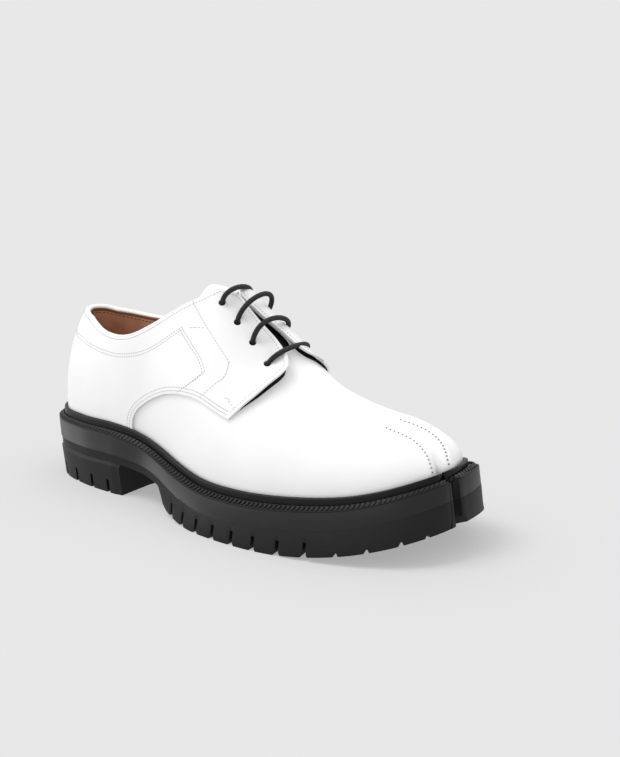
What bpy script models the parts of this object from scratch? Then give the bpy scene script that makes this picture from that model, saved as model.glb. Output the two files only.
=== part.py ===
# Right derby shoe with a split toe, on a welted lug sole.
# Sizes are millimetres: x runs from the heel's back to the toe, y from the outer side to the inner, z is up.
import math

import bmesh
import bpy
import numpy as np
from mathutils import Matrix, Vector

MM = 0.001

# Driving dimensions
SOLE_LENGTH = 305.0
FIT_GAP = 0.3
TIP_Y = 9.2
SPLIT_Y = -7.0
SPLIT_WIDTH = 3.3
SPLIT_DIP = 1.0
SPLIT_DIP_REACH = 3.5
SPLIT_END = 279.0
WELT_THICKNESS = 3.0
LIP_HEIGHT = 4.4
LIP_WIDTH = 2.4
LIP_ROUND = 0.9
EDGE_ROUND = 0.5
MIDSOLE_ROUND = 0.8
HEEL_BREAST = 85.0
HEEL_BAND = 5.0
HEEL_ROUND = 34.0
TOE_ROUND = 42.0
SPRING_START = 205.0
SPRING_HEIGHT = 18.9
WALL = 2.2
INSOLE_THICKNESS = 3.0
INSOLE_FRONT = 300.0
HEEL_POLE = 40.0
TOE_POLE = 252.0
TOE_POLE_SLOPE = -0.24
TOE_FULLNESS = 0.70
TOE_CROWN = 0.76
TOE_BULGE = 2.5
THROAT_END = 188.0
EYELET_RADIUS = 2.2
LACE_RADIUS = 1.5
TONGUE_THICKNESS = 3.2
NOTCH_WIDTH = 2.2
NOTCH_HEIGHT = 9.0
NOTCH_REACH = 15.0
NOTCH_OVERHANG = 4.0
SMALL_NOTCH_HEIGHT = 3.0

# Mesh densities
TINY = 1e-6
END_TURN = 0.12
END_STATIONS = 7
HEEL_SIDE_STATIONS = 3
FORE_SIDE_STATIONS = 7
TIP_FLAT = 0.25
LOOP_POINTS = 1440
WELT_STEPS = 80
WELT_TURN_WEIGHT = 22.0
RIB_ROWS = 13
SIDE_RIBS = 25
HEEL_RIBS = 7
TOE_RIBS = 7
TOE_RIB_CROWDING = 1.35
EYELET_SIDES = 12
SOLE_SMOOTH_ANGLE = 35
UPPER_SMOOTH_ANGLE = 50
RIB_SAMPLES = 500
TONGUE_COLUMNS = 9
LACE_POINTS = 13


def cubic(knots, values, at):
    # Smooth curve through the rows of a table, held level past its ends
    knots = np.asarray(knots, float)
    values = np.asarray(values, float)
    steps = np.diff(knots)
    slopes = np.diff(values) / steps
    tangents = np.empty_like(values)
    tangents[1:-1] = (slopes[:-1] * steps[1:] + slopes[1:] * steps[:-1]) / (steps[1:] + steps[:-1])
    tangents[0] = 1.5 * slopes[0] - 0.5 * tangents[1]
    tangents[-1] = 1.5 * slopes[-1] - 0.5 * tangents[-2]
    at = np.clip(np.asarray(at, float), knots[0], knots[-1])
    row = np.clip(np.searchsorted(knots, at, side="right") - 1, 0, len(steps) - 1)
    s = (at - knots[row]) / steps[row]
    return ((2 * s**3 - 3 * s**2 + 1) * values[row] + (s**3 - 2 * s**2 + s) * steps[row] * tangents[row]
            + (3 * s**2 - 2 * s**3) * values[row + 1] + (s**3 - s**2) * steps[row] * tangents[row + 1])


class Table:
    # Rows by x, with named columns
    def __init__(self, columns, rows):
        self.columns = columns
        self.rows = np.array(rows, float)

    def at(self, name, x):
        return cubic(self.rows[:, 0], self.rows[:, self.columns.index(name)], x)


# Edge of the welt, half widths to the outer and inner side
OUTLINE = Table(("x", "outer", "inner"), (
    (6, 14.8, 15.2), (20, 28.0, 28.4), (45, 36.2, 35.4), (75, 38.6, 34.0), (105, 41.4, 31.6),
    (135, 49.2, 32.0), (165, 57.0, 37.2), (195, 59.6, 44.3), (220, 57.8, 47.8), (245, 53.4, 48.6),
    (268, 46.0, 46.8), (286, 35.2, 41.6), (299, 20.2, 31.2)))

# Side view of the sole: top of the welt, depth from there to the midsole's underside
PROFILE = Table(("x", "welt_top", "midsole_depth"), (
    (0, 41.3, 12.7), (45, 40.3, 12.5), (85, 38.6, 11.3), (120, 32.0, 10.0), (155, 24.8, 12.3),
    (190, 24.1, 12.7), (225, 26.6, 12.7), (265, 33.0, 12.7), (305, 46.4, 12.7)))

# Underside of the outsole from the heel's breast through the arch to the tread
ARCH = Table(("x", "height"), (
    (0, 26.0), (60, 24.5), (85, 22.2), (104, 20.2), (116, 18.2), (123, 14.6), (128, 8.0), (134, 3.2),
    (144, 0.8), (155, 0.0)))

# Distances in from the welt's edge: the upper, and the outsole's top and bottom edges
EDGES = Table(("x", "upper", "outsole_top", "outsole_bottom"), (
    (0, 8.6, 1.2, 1.6), (60, 7.2, 1.2, 1.6), (118, 8.0, 1.2, 1.4), (150, 8.5, 0.6, -2.6),
    (190, 9.0, 0.5, -3.0), (250, 8.5, 0.5, -3.0), (305, 7.5, 0.5, -2.6)))
HEEL_TOP_EDGE = 1.4
HEEL_BOTTOM_EDGE = 4.4

# Sections of the upper: ridge height, side shift and roll, fullness of each flank, crown, bulge over the welt
SECTION = Table(("x", "ridge", "shift", "roll", "outer", "inner", "crown", "bulge"), (
    (40, 122.5, 0.0, 0.00, 1.36, 1.36, 1.00, 2.4), (60, 139.0, 0.0, 0.00, 1.20, 1.20, 1.00, 2.7),
    (80, 150.0, 0.0, 0.00, 1.10, 1.08, 1.00, 3.2), (105, 153.0, 0.0, 0.05, 1.10, 0.90, 1.00, 3.5),
    (130, 146.0, 0.5, 0.12, 1.12, 0.70, 1.00, 3.5), (150, 135.0, 1.0, 0.18, 1.08, 0.58, 1.00, 3.5),
    (170, 116.5, 1.5, 0.18, 1.02, 0.58, 0.97, 3.5), (190, 99.2, 2.0, 0.12, 0.95, 0.66, 0.92, 3.5),
    (210, 84.8, 2.5, 0.03, 0.90, 0.78, 0.88, 3.5), (230, 77.0, 3.5, 0.00, 0.86, 0.81, 0.84, 3.5),
    (252, 72.0, 5.0, 0.00, 0.82, 0.82, 0.82, 3.0)))

# Collar height on each side
COLLAR = Table(("x", "outer", "inner"), (
    (10, 111.5, 109.5), (25, 110.8, 107.0), (45, 105.6, 104.0), (65, 101.0, 102.5), (85, 102.5, 104.0),
    (105, 112.0, 110.5), (125, 124.5, 122.0), (140, 133.0, 131.5), (150, 142.0, 141.0), (160, 170.0, 170.0)))

# Half width of the throat between the facings
THROAT = Table(("x", "half_gap"), ((140, 0.9), (152, 1.1), (165, 2.4), (180, 4.4), (188, 5.2)))

# Eyelets: place along the shoe, distance down each flank from the ridge, rise of the lace on each side
EYELETS = Table(("x", "run", "outer_rise", "inner_rise"), (
    (148.0, 17.0, 1.00, 0.80), (160.0, 18.2, 1.20, 1.10), (172.0, 19.0, 1.10, 0.80), (184.5, 21.6, 0.80, 0.70)))

# Tongue: how far it lies under the upper's ridge line, half width
TONGUE = Table(("x", "drop", "half_width"), (
    (127, 13.0, 15.0), (131, 11.6, 19.5), (140, 8.8, 22.0), (150, 7.4, 22.5), (170, 7.0, 22.5),
    (186, 6.6, 22.0), (198, 6.0, 20.0)))

HEEL_NOTCHES = (37.0, 53.0, 68.5)
TREAD_NOTCHES = tuple(138.5 + 11.8 * i + 0.37 * i**2 for i in range(8))
TOE_NOTCHES = (256.5, 274.0, 288.0)


# Forms shared by the pieces
def closed_curve(points, count):
    ring = np.asarray(points, float)
    ring = np.concatenate([ring[-3:], ring, ring[:3]])
    run = np.r_[0, np.cumsum(np.linalg.norm(np.diff(ring, axis=0), axis=1))]
    at = np.linspace(run[3], run[-3], count, endpoint=False)
    return np.c_[cubic(run, ring[:, 0], at), cubic(run, ring[:, 1], at)]


def welt_edge():
    # Heel's back, outer side, toe, inner side; drawn in where the toe is split
    outer = [(x, -width) for x, width, _ in OUTLINE.rows]
    inner = [(x, width) for x, _, width in OUTLINE.rows[::-1]]
    loop = closed_curve([(0, 0)] + outer + [(SOLE_LENGTH, TIP_Y)] + inner, LOOP_POINTS)
    dip = SPLIT_DIP * np.exp(-((loop[:, 1] - SPLIT_Y) / SPLIT_DIP_REACH) ** 2)
    loop[:, 0] -= np.where(loop[:, 0] > SOLE_LENGTH / 2, dip, 0)
    return loop


WELT_EDGE = welt_edge()


def inward_normals(loop):
    along = np.roll(loop, -1, axis=0) - np.roll(loop, 1, axis=0)
    normals = np.c_[-along[:, 1], along[:, 0]]
    return normals / np.linalg.norm(normals, axis=1)[:, None]


def inset_loop(inset):
    # The welt's edge moved in by a distance that depends on x
    return WELT_EDGE + inward_normals(WELT_EDGE) * inset(WELT_EDGE[:, 0])[:, None]


def level(distance):
    return lambda x: np.full_like(np.asarray(x, float), distance)


def welt_top(x):
    return PROFILE.at("welt_top", x)


def midsole_bottom(x):
    return welt_top(x) - PROFILE.at("midsole_depth", x)


def midsole_top(x):
    return welt_top(x) - WELT_THICKNESS - FIT_GAP


def outsole_top(x):
    return midsole_bottom(x) - FIT_GAP


def outsole_bottom(x):
    spring = SPRING_HEIGHT * (np.clip(x - SPRING_START, 0, None) / (SOLE_LENGTH - SPRING_START)) ** 2
    return np.minimum(outsole_top(x) - HEEL_BAND, ARCH.at("height", x) + spring)


# Stations along the sole, closer together where its ends and its arch turn
def sole_stations():
    turn = np.linspace(END_TURN, math.pi / 2, END_STATIONS)
    heel = HEEL_ROUND * (1 - np.cos(turn))
    toe = SOLE_LENGTH - TOE_ROUND * (1 - np.cos(turn))
    arch = ARCH.rows[2:, 0]
    heel_side = np.linspace(HEEL_ROUND, arch[0], HEEL_SIDE_STATIONS + 2)
    fore_side = np.linspace(arch[-1], SOLE_LENGTH - TOE_ROUND, FORE_SIDE_STATIONS + 2)
    return np.unique(np.concatenate([heel, heel_side[1:-1], arch, fore_side[1:-1], toe, [SPLIT_END]]))


STATIONS = sole_stations()


def half_rail(branch, wall, nearer, stations):
    # One side of the sole: its edge and its face at the toe's split, at each station
    tip = int(np.argmax(branch[:, 0]))
    edge = branch[:tip + 1]
    flank = branch[tip:][::-1]
    low = edge[0, 0]
    high = edge[-1, 0] - TIP_FLAT
    x = low + stations / SOLE_LENGTH * (high - low)
    edge_y = np.interp(x, edge[:, 0], edge[:, 1])
    wall_y = nearer(np.full_like(x, wall), np.interp(x, flank[:, 0], flank[:, 1]))
    return x, edge_y, wall_y


def rails(inset, stations):
    # Four points across the sole at each station: outer edge, split's two faces, inner edge
    loop = inset_loop(inset)
    front = int(np.argmin(np.abs(loop[:, 1] - SPLIT_Y) + (loop[:, 0] < SOLE_LENGTH / 2) * SOLE_LENGTH))
    outer = loop[:front + 1]
    inner = np.concatenate([loop[front:], loop[:1]])[::-1]
    outer_x, outer_y, outer_wall = half_rail(outer, SPLIT_Y - SPLIT_WIDTH / 2, np.minimum, stations)
    inner_x, inner_y, inner_wall = half_rail(inner, SPLIT_Y + SPLIT_WIDTH / 2, np.maximum, stations)
    # Behind the split its two lines run back at the same share of the width
    behind = stations < SPLIT_END - TINY
    at_split = int(np.argmax(~behind)) if not behind.all() else len(stations) - 1
    width = inner_y - outer_y
    outer_share = (outer_wall[at_split] - outer_y[at_split]) / width[at_split]
    inner_share = (inner_wall[at_split] - outer_y[at_split]) / width[at_split]
    outer_wall = np.where(behind, outer_y + outer_share * width, outer_wall)
    inner_wall = np.where(behind, outer_y + inner_share * width, inner_wall)
    across = ((outer_x, outer_y), (outer_x, outer_wall), (inner_x, inner_wall), (inner_x, inner_y))
    return np.stack([np.stack(pair, axis=1) for pair in across], axis=1)


# Mesh helpers
def quad(mesh, a, b, c, d):
    for corners in ((a, b, c), (a, c, d)):
        if len(set(corners)) == 3:
            mesh.faces.new(corners)


def finish(mesh, name, material, smooth_angle):
    unused = [vert for vert in mesh.verts if not vert.link_faces]
    bmesh.ops.delete(mesh, geom=unused, context="VERTS")
    bmesh.ops.recalc_face_normals(mesh, faces=mesh.faces)
    data = bpy.data.meshes.new(name)
    mesh.to_mesh(data)
    mesh.free()
    data.shade_smooth()
    data.set_sharp_from_angle(angle=math.radians(smooth_angle))
    piece = bpy.data.objects.new(name, data)
    bpy.context.collection.objects.link(piece)
    piece.parent = FRAME
    data.materials.append(material)
    return piece


def vertex(mesh, x, y, z):
    return mesh.verts.new((x * MM, y * MM, z * MM))


def slab(name, material, levels, stations, split_end):
    # A layer of the sole between levels given as (inset, height), split from split_end forward
    mesh = bmesh.new()
    grid = []
    for inset, height in levels:
        points = rails(inset, stations)
        grid.append([[vertex(mesh, x, y, z) for (x, y), z in zip(row, height(row[:, 0]))] for row in points])
    count = len(stations)
    split = [x >= split_end - TINY for x in stations]
    for rows in (grid[0], grid[-1]):
        for i in range(count - 1):
            for k in (0, 1, 2):
                if k != 1 or not split[i]:
                    quad(mesh, rows[i][k], rows[i + 1][k], rows[i + 1][k + 1], rows[i][k + 1])
    for low, high in zip(grid, grid[1:]):
        for i in range(count - 1):
            faces = (0, 1, 2, 3) if split[i] else (0, 3)
            for k in faces:
                quad(mesh, low[i][k], low[i + 1][k], high[i + 1][k], high[i][k])
        ends = [(0, k) for k in (0, 1, 2)]
        ends += [(count - 1, k) for k in (0, 1, 2) if k != 1 or not split[-1]]
        ends += [(i, 1) for i in range(count - 1) if split[i] and not split[i - 1]]
        for i, k in ends:
            quad(mesh, low[i][k], low[i][k + 1], high[i][k + 1], high[i][k])
    return finish(mesh, name, material, SOLE_SMOOTH_ANGLE)


def cut(piece, name, mesh):
    # A hidden cutter taken out of the piece
    bmesh.ops.recalc_face_normals(mesh, faces=mesh.faces)
    data = bpy.data.meshes.new(name)
    mesh.to_mesh(data)
    mesh.free()
    cutter = bpy.data.objects.new(name, data)
    bpy.context.collection.objects.link(cutter)
    cutter.parent = FRAME
    cutter.hide_render = True
    cutter.display_type = "WIRE"
    boolean = piece.modifiers.new(name, "BOOLEAN")
    boolean.operation = "DIFFERENCE"
    boolean.solver = "EXACT"
    boolean.object = cutter


def notch_boxes(mesh, inset, places, height, floor, reach):
    # Side notches of the tread, square to the edge, on both sides
    loop = inset_loop(inset)
    normals = inward_normals(loop)
    for place in places:
        for side in (-1, 1):
            same_side = (loop[:, 1] - SPLIT_Y / 2) * side > 0
            i = int(np.argmin(np.abs(loop[:, 0] - place) + ~same_side * SOLE_LENGTH))
            inward = normals[i]
            middle = loop[i] + inward * (reach - NOTCH_OVERHANG) / 2
            low = float(floor(np.array([place]))[0]) - NOTCH_OVERHANG
            turn = Matrix.Rotation(math.atan2(inward[1], inward[0]), 4, "Z")
            length = reach + NOTCH_OVERHANG
            tall = height + NOTCH_OVERHANG
            size = Matrix.Diagonal((length * MM, NOTCH_WIDTH * MM, tall * MM, 1))
            centre = Vector((middle[0], middle[1], low + tall / 2)) * MM
            bmesh.ops.create_cube(mesh, size=1.0, matrix=Matrix.Translation(centre) @ turn @ size)


# Sole
def make_outsole(material):
    bottom_edge = lambda x: EDGES.at("outsole_bottom", x)
    top_edge = lambda x: EDGES.at("outsole_top", x)
    levels = ((bottom_edge, outsole_bottom), (top_edge, outsole_top))
    piece = slab("outsole", material, levels, STATIONS, SPLIT_END)
    mesh = bmesh.new()
    notch_boxes(mesh, bottom_edge, TREAD_NOTCHES, NOTCH_HEIGHT, outsole_bottom, NOTCH_REACH)
    notch_boxes(mesh, bottom_edge, TOE_NOTCHES, SMALL_NOTCH_HEIGHT, outsole_bottom, NOTCH_REACH / 2)
    cut(piece, "tread_notches", mesh)


def make_heel(material):
    stations = STATIONS[STATIONS <= HEEL_BREAST]
    bottom_edge = level(HEEL_BOTTOM_EDGE)
    top = lambda x: outsole_bottom(x) - FIT_GAP
    levels = ((bottom_edge, level(0.0)), (level(HEEL_TOP_EDGE), top))
    piece = slab("heel", material, levels, stations, SOLE_LENGTH)
    mesh = bmesh.new()
    notch_boxes(mesh, bottom_edge, HEEL_NOTCHES, NOTCH_HEIGHT, level(0.0), NOTCH_REACH)
    cut(piece, "heel_notches", mesh)


def make_midsole(material):
    levels = ((level(MIDSOLE_ROUND), midsole_bottom), (level(0.0), lambda x: midsole_bottom(x) + MIDSOLE_ROUND),
              (level(0.0), midsole_top))
    slab("midsole", material, levels, STATIONS, SPLIT_END)


def make_insole(material):
    stations = STATIONS[STATIONS < INSOLE_FRONT]
    edge = lambda x: EDGES.at("upper", x) + WALL + 2 * FIT_GAP
    bottom = lambda x: midsole_top(x) + FIT_GAP
    levels = ((edge, bottom), (edge, lambda x: bottom(x) + INSOLE_THICKNESS))
    slab("insole", material, levels, stations, SOLE_LENGTH)


def welt_profile(x):
    # Closed section of the welt: distance in from its edge, height over its flat top
    inner = float(EDGES.at("upper", x)) - 3 * FIT_GAP
    outer = inner - LIP_WIDTH
    bottom = -WELT_THICKNESS
    return ((EDGE_ROUND, bottom), (0.0, bottom + EDGE_ROUND), (0.0, -EDGE_ROUND), (EDGE_ROUND, 0.0),
            (outer - EDGE_ROUND, 0.0), (outer, LIP_HEIGHT - LIP_ROUND), (outer + LIP_ROUND, LIP_HEIGHT),
            (inner, LIP_HEIGHT), (inner, bottom))


def make_welt(material):
    normals = inward_normals(WELT_EDGE)
    at_split = (WELT_EDGE[:, 0] > SOLE_LENGTH / 2) & (np.abs(WELT_EDGE[:, 1] - SPLIT_Y) < SPLIT_WIDTH / 2)
    start = int(np.nonzero(at_split)[0][-1]) + 1
    order = np.roll(np.arange(LOOP_POINTS), -start)
    order = order[~at_split[order]]
    steps = np.diff(WELT_EDGE[order], axis=0)
    turns = np.abs(np.diff(np.unwrap(np.arctan2(steps[:, 1], steps[:, 0]))))
    pace = np.cumsum(np.linalg.norm(steps, axis=1) + WELT_TURN_WEIGHT * np.r_[turns, 0])
    pace = np.r_[0, pace]
    picks = order[np.searchsorted(pace, np.linspace(0, pace[-1], WELT_STEPS)).clip(0, len(order) - 1)]
    mesh = bmesh.new()
    rings = []
    for i in picks:
        ring = []
        for inset, height in welt_profile(WELT_EDGE[i, 0]):
            x, y = WELT_EDGE[i] + normals[i] * inset
            ring.append(vertex(mesh, x, y, float(welt_top(x)) + height))
        rings.append(ring)
    for ring, following in zip(rings, rings[1:]):
        for k in range(len(ring)):
            quad(mesh, ring[k - 1], ring[k], following[k], following[k - 1])
    mesh.faces.new(rings[0])
    mesh.faces.new(rings[-1])
    finish(mesh, "welt", material, SOLE_SMOOTH_ANGLE)


# Upper: ribs from the welt to the ridge, along both sides and fanned round the heel and the toe
FOOT_LOOP = inset_loop(lambda x: EDGES.at("upper", x))


def foot_side(x, side):
    same_side = (FOOT_LOOP[:, 1] - SPLIT_Y / 2) * side > 0
    points = FOOT_LOOP[same_side]
    points = points[np.argsort(points[:, 0])]
    return float(np.interp(x, points[:, 0], points[:, 1]))


def foot_fan(pole, angle):
    spread = FOOT_LOOP - pole
    angles = np.arctan2(spread[:, 1], spread[:, 0])
    return float(np.interp(angle, angles, np.hypot(spread[:, 0], spread[:, 1]), period=2 * math.pi))


class Rib:
    def __init__(self, kind, place, side):
        self.kind = kind
        self.place = place
        self.side = side
        spine_x = {"side": place, "heel": HEEL_POLE, "toe": TOE_POLE}[kind]
        flank = "outer" if side < 0 else "inner"
        self.spine = np.array([spine_x, float(SECTION.at("shift", spine_x))])
        self.ridge = float(SECTION.at("ridge", spine_x))
        self.fullness = float(SECTION.at(flank, spine_x))
        self.crown = float(SECTION.at("crown", spine_x))
        self.bulge = float(SECTION.at("bulge", spine_x))
        self.roll = float(SECTION.at("roll", spine_x))
        self.slope = 0.0
        if kind == "side":
            self.reach = abs(foot_side(place, side) - self.spine[1])
            self.out = np.array([0.0, side])
        else:
            self.reach = foot_fan(self.spine, place)
            self.out = np.array([math.cos(place), math.sin(place)])
        if kind == "toe":
            ahead = math.cos(place) ** 2
            self.slope = TOE_POLE_SLOPE
            self.fullness += (TOE_FULLNESS - self.fullness) * ahead
            self.crown += (TOE_CROWN - self.crown) * ahead
            self.bulge += (TOE_BULGE - self.bulge) * ahead
        foot_x = self.spine[0] + self.reach * self.out[0]
        self.foot = float(midsole_top(foot_x)) + FIT_GAP

    def points(self, angles):
        # Points from the foot at angle 0 to the ridge at a right angle, with their distances from the ridge
        cosine = np.clip(np.cos(angles), 0, 1)
        away = self.reach * cosine**self.fullness + self.bulge * np.sin(2 * angles) * cosine**2
        plan = self.spine + away[:, None] * self.out
        top = self.ridge + (plan - self.spine) @ np.array([self.slope, self.roll])
        height = self.foot + (top - self.foot) * np.sin(angles) ** self.crown
        return np.c_[plan, height], away

    def is_open(self):
        return self.kind == "heel" or (self.kind == "side" and self.place < THROAT_END)

    def crest(self):
        # Ribs that meet at the ridge or at the toe's pole have the same crest
        return id(self) if self.is_open() else round(self.spine[0], 3)

    def rows(self, count):
        # Evenly spaced points, up to the collar or the throat where the rib is cut there
        points, away = self.points(np.linspace(0, math.pi / 2, RIB_SAMPLES))
        end = len(points)
        if self.is_open():
            over = points[:, 2] > COLLAR.at("outer" if self.side < 0 else "inner", points[:, 0])
            if self.kind == "side":
                over |= away < float(THROAT.at("half_gap", self.place))
            end = int(np.argmax(over))
        points = points[:end]
        run = np.r_[0, np.cumsum(np.linalg.norm(np.diff(points, axis=0), axis=1))]
        at = np.linspace(0, run[-1], count)
        return np.stack([np.interp(at, run, points[:, k]) for k in range(3)], axis=1)


def all_ribs():
    # Once round the shoe from the heel's back along the outer side
    sides = np.linspace(HEEL_POLE, TOE_POLE, SIDE_RIBS)
    quarter = np.linspace(0, math.pi / 2, HEEL_RIBS)
    split = math.atan2(SPLIT_Y - float(SECTION.at("shift", TOE_POLE)), SOLE_LENGTH - TOE_POLE)
    spread = np.linspace(0, 1, TOE_RIBS + 2)[1:-1] ** TOE_RIB_CROWDING
    outer_toe = split + (-math.pi / 2 - split) * spread[::-1]
    inner_toe = split + (math.pi / 2 - split) * spread
    ribs = [Rib("heel", -math.pi + angle, -1) for angle in quarter[:-1]]
    ribs += [Rib("side", x, -1) for x in sides]
    ribs += [Rib("toe", angle, -1) for angle in outer_toe]
    ribs += [Rib("toe", split, 1)]
    ribs += [Rib("toe", angle, 1) for angle in inner_toe]
    ribs += [Rib("side", x, 1) for x in sides[::-1]]
    ribs += [Rib("heel", math.pi - angle, 1) for angle in quarter[-2:0:-1]]
    return ribs


def shell_layer(mesh, ribs, columns):
    # Vertices of one face of the wall; flanks share their ridge, the toe's fan shares its pole
    ridge = {}
    layer = []
    for rib, column in zip(ribs, columns):
        verts = [vertex(mesh, *point) for point in column[:-1]]
        key = rib.crest()
        if key not in ridge:
            ridge[key] = vertex(mesh, *column[-1])
        verts.append(ridge[key])
        layer.append(verts)
    return layer


def grid_normals(ribs, columns):
    # Outward normals of the wall's outer face, averaged where points coincide
    columns = np.array(columns)
    along = np.roll(columns, -1, axis=0) - np.roll(columns, 1, axis=0)
    up = np.gradient(columns, axis=1)
    normals = np.cross(along, up)
    shared = {}
    for i, rib in enumerate(ribs):
        if not rib.is_open():
            shared.setdefault(rib.crest(), []).append(i)
    lengths = np.linalg.norm(normals, axis=2, keepdims=True)
    normals = normals / np.maximum(lengths, TINY)
    for group in shared.values():
        crest = normals[group, -2].mean(axis=0)
        normals[group, -1] = crest / np.linalg.norm(crest)
    return normals


def make_upper(material):
    ribs = all_ribs()
    outer_columns = np.array([rib.rows(RIB_ROWS) for rib in ribs])
    inner_columns = outer_columns - grid_normals(ribs, outer_columns) * WALL
    inner_columns[:, 0, 2] = outer_columns[:, 0, 2]
    mesh = bmesh.new()
    outer = shell_layer(mesh, ribs, outer_columns)
    inner = shell_layer(mesh, ribs, inner_columns)
    for i in range(len(ribs)):
        j = (i + 1) % len(ribs)
        for layer in (outer, inner):
            for k in range(RIB_ROWS - 1):
                quad(mesh, layer[i][k], layer[j][k], layer[j][k + 1], layer[i][k + 1])
        quad(mesh, outer[i][0], outer[j][0], inner[j][0], inner[i][0])
        if ribs[i].is_open() or ribs[j].is_open():
            quad(mesh, outer[i][-1], outer[j][-1], inner[j][-1], inner[i][-1])
    piece = finish(mesh, "upper", material, UPPER_SMOOTH_ANGLE)
    punch = bmesh.new()
    for x, run, _, _ in EYELETS.rows:
        for side in (-1, 1):
            point, normal = surface_point(x, side, run)
            turn = normal.to_track_quat("Z", "Y").to_matrix().to_4x4()
            place = Matrix.Translation((point - normal * WALL / 2) * MM) @ turn
            radius = EYELET_RADIUS * MM
            bmesh.ops.create_cone(punch, cap_ends=True, segments=EYELET_SIDES, radius1=radius, radius2=radius,
                                  depth=3 * WALL * MM, matrix=place)
    cut(piece, "eyelet_punch", punch)


def surface_point(x, side, run):
    # Place and outward normal on a flank of the upper, a distance down its rib from the ridge
    def place(at_x, at_run):
        points, _ = Rib("side", at_x, side).points(np.linspace(math.pi / 2, 0, RIB_SAMPLES))
        runs = np.r_[0, np.cumsum(np.linalg.norm(np.diff(points, axis=0), axis=1))]
        return Vector([float(np.interp(at_run, runs, points[:, k])) for k in range(3)])

    point = place(x, run)
    along = place(x + 1, run) - place(x - 1, run)
    down = place(x, run + 1) - place(x, run - 1)
    normal = along.cross(down).normalized()
    return point, normal if normal.z > 0 else -normal


# Tongue: a sheet under the facings, from inside the vamp to above the throat
def make_tongue(material):
    mesh = bmesh.new()
    layers = ([], [])
    for x in TONGUE.rows[:, 0]:
        drop = float(TONGUE.at("drop", x))
        half = float(TONGUE.at("half_width", x))
        rows = ([], [])
        for share in np.linspace(-1, 1, TONGUE_COLUMNS):
            side = -1 if share < 0 else 1
            point, _ = surface_point(x, side, abs(share) * half)
            rows[0].append(vertex(mesh, x, point.y, point.z - drop))
            rows[1].append(vertex(mesh, x, point.y, point.z - drop - TONGUE_THICKNESS))
        layers[0].append(rows[0])
        layers[1].append(rows[1])
    top, bottom = layers
    last = len(top) - 1
    for layer in layers:
        for i in range(last):
            for k in range(TONGUE_COLUMNS - 1):
                quad(mesh, layer[i][k], layer[i + 1][k], layer[i + 1][k + 1], layer[i][k + 1])
    for i in range(last):
        for k in (0, TONGUE_COLUMNS - 1):
            quad(mesh, top[i][k], top[i + 1][k], bottom[i + 1][k], bottom[i][k])
    for i in (0, last):
        for k in range(TONGUE_COLUMNS - 1):
            quad(mesh, top[i][k], top[i][k + 1], bottom[i][k + 1], bottom[i][k])
    finish(mesh, "tongue", material, UPPER_SMOOTH_ANGLE)


# Laces: a round bar arched over the throat between each pair of eyelets
def make_lace(index, x, run, rises, material):
    ends = [surface_point(x, side, run) for side in (-1, 1)]
    starts = [point - normal * (WALL + FIT_GAP) for point, normal in ends]
    span = (starts[1] - starts[0]).length
    peaks = [start + normal * span * rise for start, (_, normal), rise in zip(starts, ends, rises)]
    controls = (starts[0], peaks[0], peaks[1], starts[1])
    curve = bpy.data.curves.new("lace_%d" % index, "CURVE")
    curve.dimensions = "3D"
    curve.bevel_depth = LACE_RADIUS * MM
    curve.bevel_resolution = 2
    curve.use_fill_caps = True
    spline = curve.splines.new("POLY")
    spline.points.add(LACE_POINTS - 1)
    for point, t in zip(spline.points, np.linspace(0, 1, LACE_POINTS)):
        weights = ((1 - t) ** 3, 3 * t * (1 - t) ** 2, 3 * t**2 * (1 - t), t**3)
        place = sum((control * weight for control, weight in zip(controls, weights)), Vector())
        point.co = (place.x * MM, place.y * MM, place.z * MM, 1.0)
    curve.materials.append(material)
    piece = bpy.data.objects.new("lace_%d" % index, curve)
    bpy.context.collection.objects.link(piece)
    piece.parent = FRAME


def principled(name, colour, roughness):
    material = bpy.data.materials.new(name)
    material.use_nodes = True
    shader = material.node_tree.nodes["Principled BSDF"]
    shader.inputs["Base Color"].default_value = (*colour, 1.0)
    shader.inputs["Roughness"].default_value = roughness
    shader.inputs["Metallic"].default_value = 0.0
    return material


# Build
for existing in list(bpy.data.objects):
    bpy.data.objects.remove(existing, do_unlink=True)

FRAME = bpy.data.objects.new("shoe_frame", None)
bpy.context.collection.objects.link(FRAME)

white_leather = principled("white_leather", (0.84, 0.84, 0.83), 0.4)
tongue_leather = principled("tongue_leather", (0.80, 0.80, 0.79), 0.45)
tan_leather = principled("tan_leather", (0.23, 0.11, 0.06), 0.6)
tread_rubber = principled("tread_rubber", (0.022, 0.022, 0.023), 0.55)
heel_rubber = principled("heel_rubber", (0.020, 0.020, 0.021), 0.55)
midsole_rubber = principled("midsole_rubber", (0.030, 0.030, 0.031), 0.45)
welt_rubber = principled("welt_rubber", (0.026, 0.026, 0.027), 0.5)
lace_cotton = principled("lace_cotton", (0.025, 0.025, 0.026), 0.8)

make_outsole(tread_rubber)
make_heel(heel_rubber)
make_midsole(midsole_rubber)
make_welt(welt_rubber)
make_insole(tan_leather)
make_upper(white_leather)
make_tongue(tongue_leather)
for number, (eyelet_x, eyelet_run, *eyelet_rises) in enumerate(EYELETS.rows, start=1):
    make_lace(number, eyelet_x, eyelet_run, eyelet_rises, lace_cotton)

# The frame's origin stands on the floor under the middle of the sole's widest outline
tread_loop = inset_loop(lambda x: EDGES.at("outsole_bottom", x))
lowest = np.minimum(tread_loop.min(axis=0), WELT_EDGE.min(axis=0))
highest = np.maximum(tread_loop.max(axis=0), WELT_EDGE.max(axis=0))
FRAME.location = (-(lowest[0] + highest[0]) / 2 * MM, -(lowest[1] + highest[1]) / 2 * MM, 0.0)
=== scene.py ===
import math

import bmesh
import bpy
import numpy as np
from mathutils import Matrix, Vector
from mathutils.bvhtree import BVHTree


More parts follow.
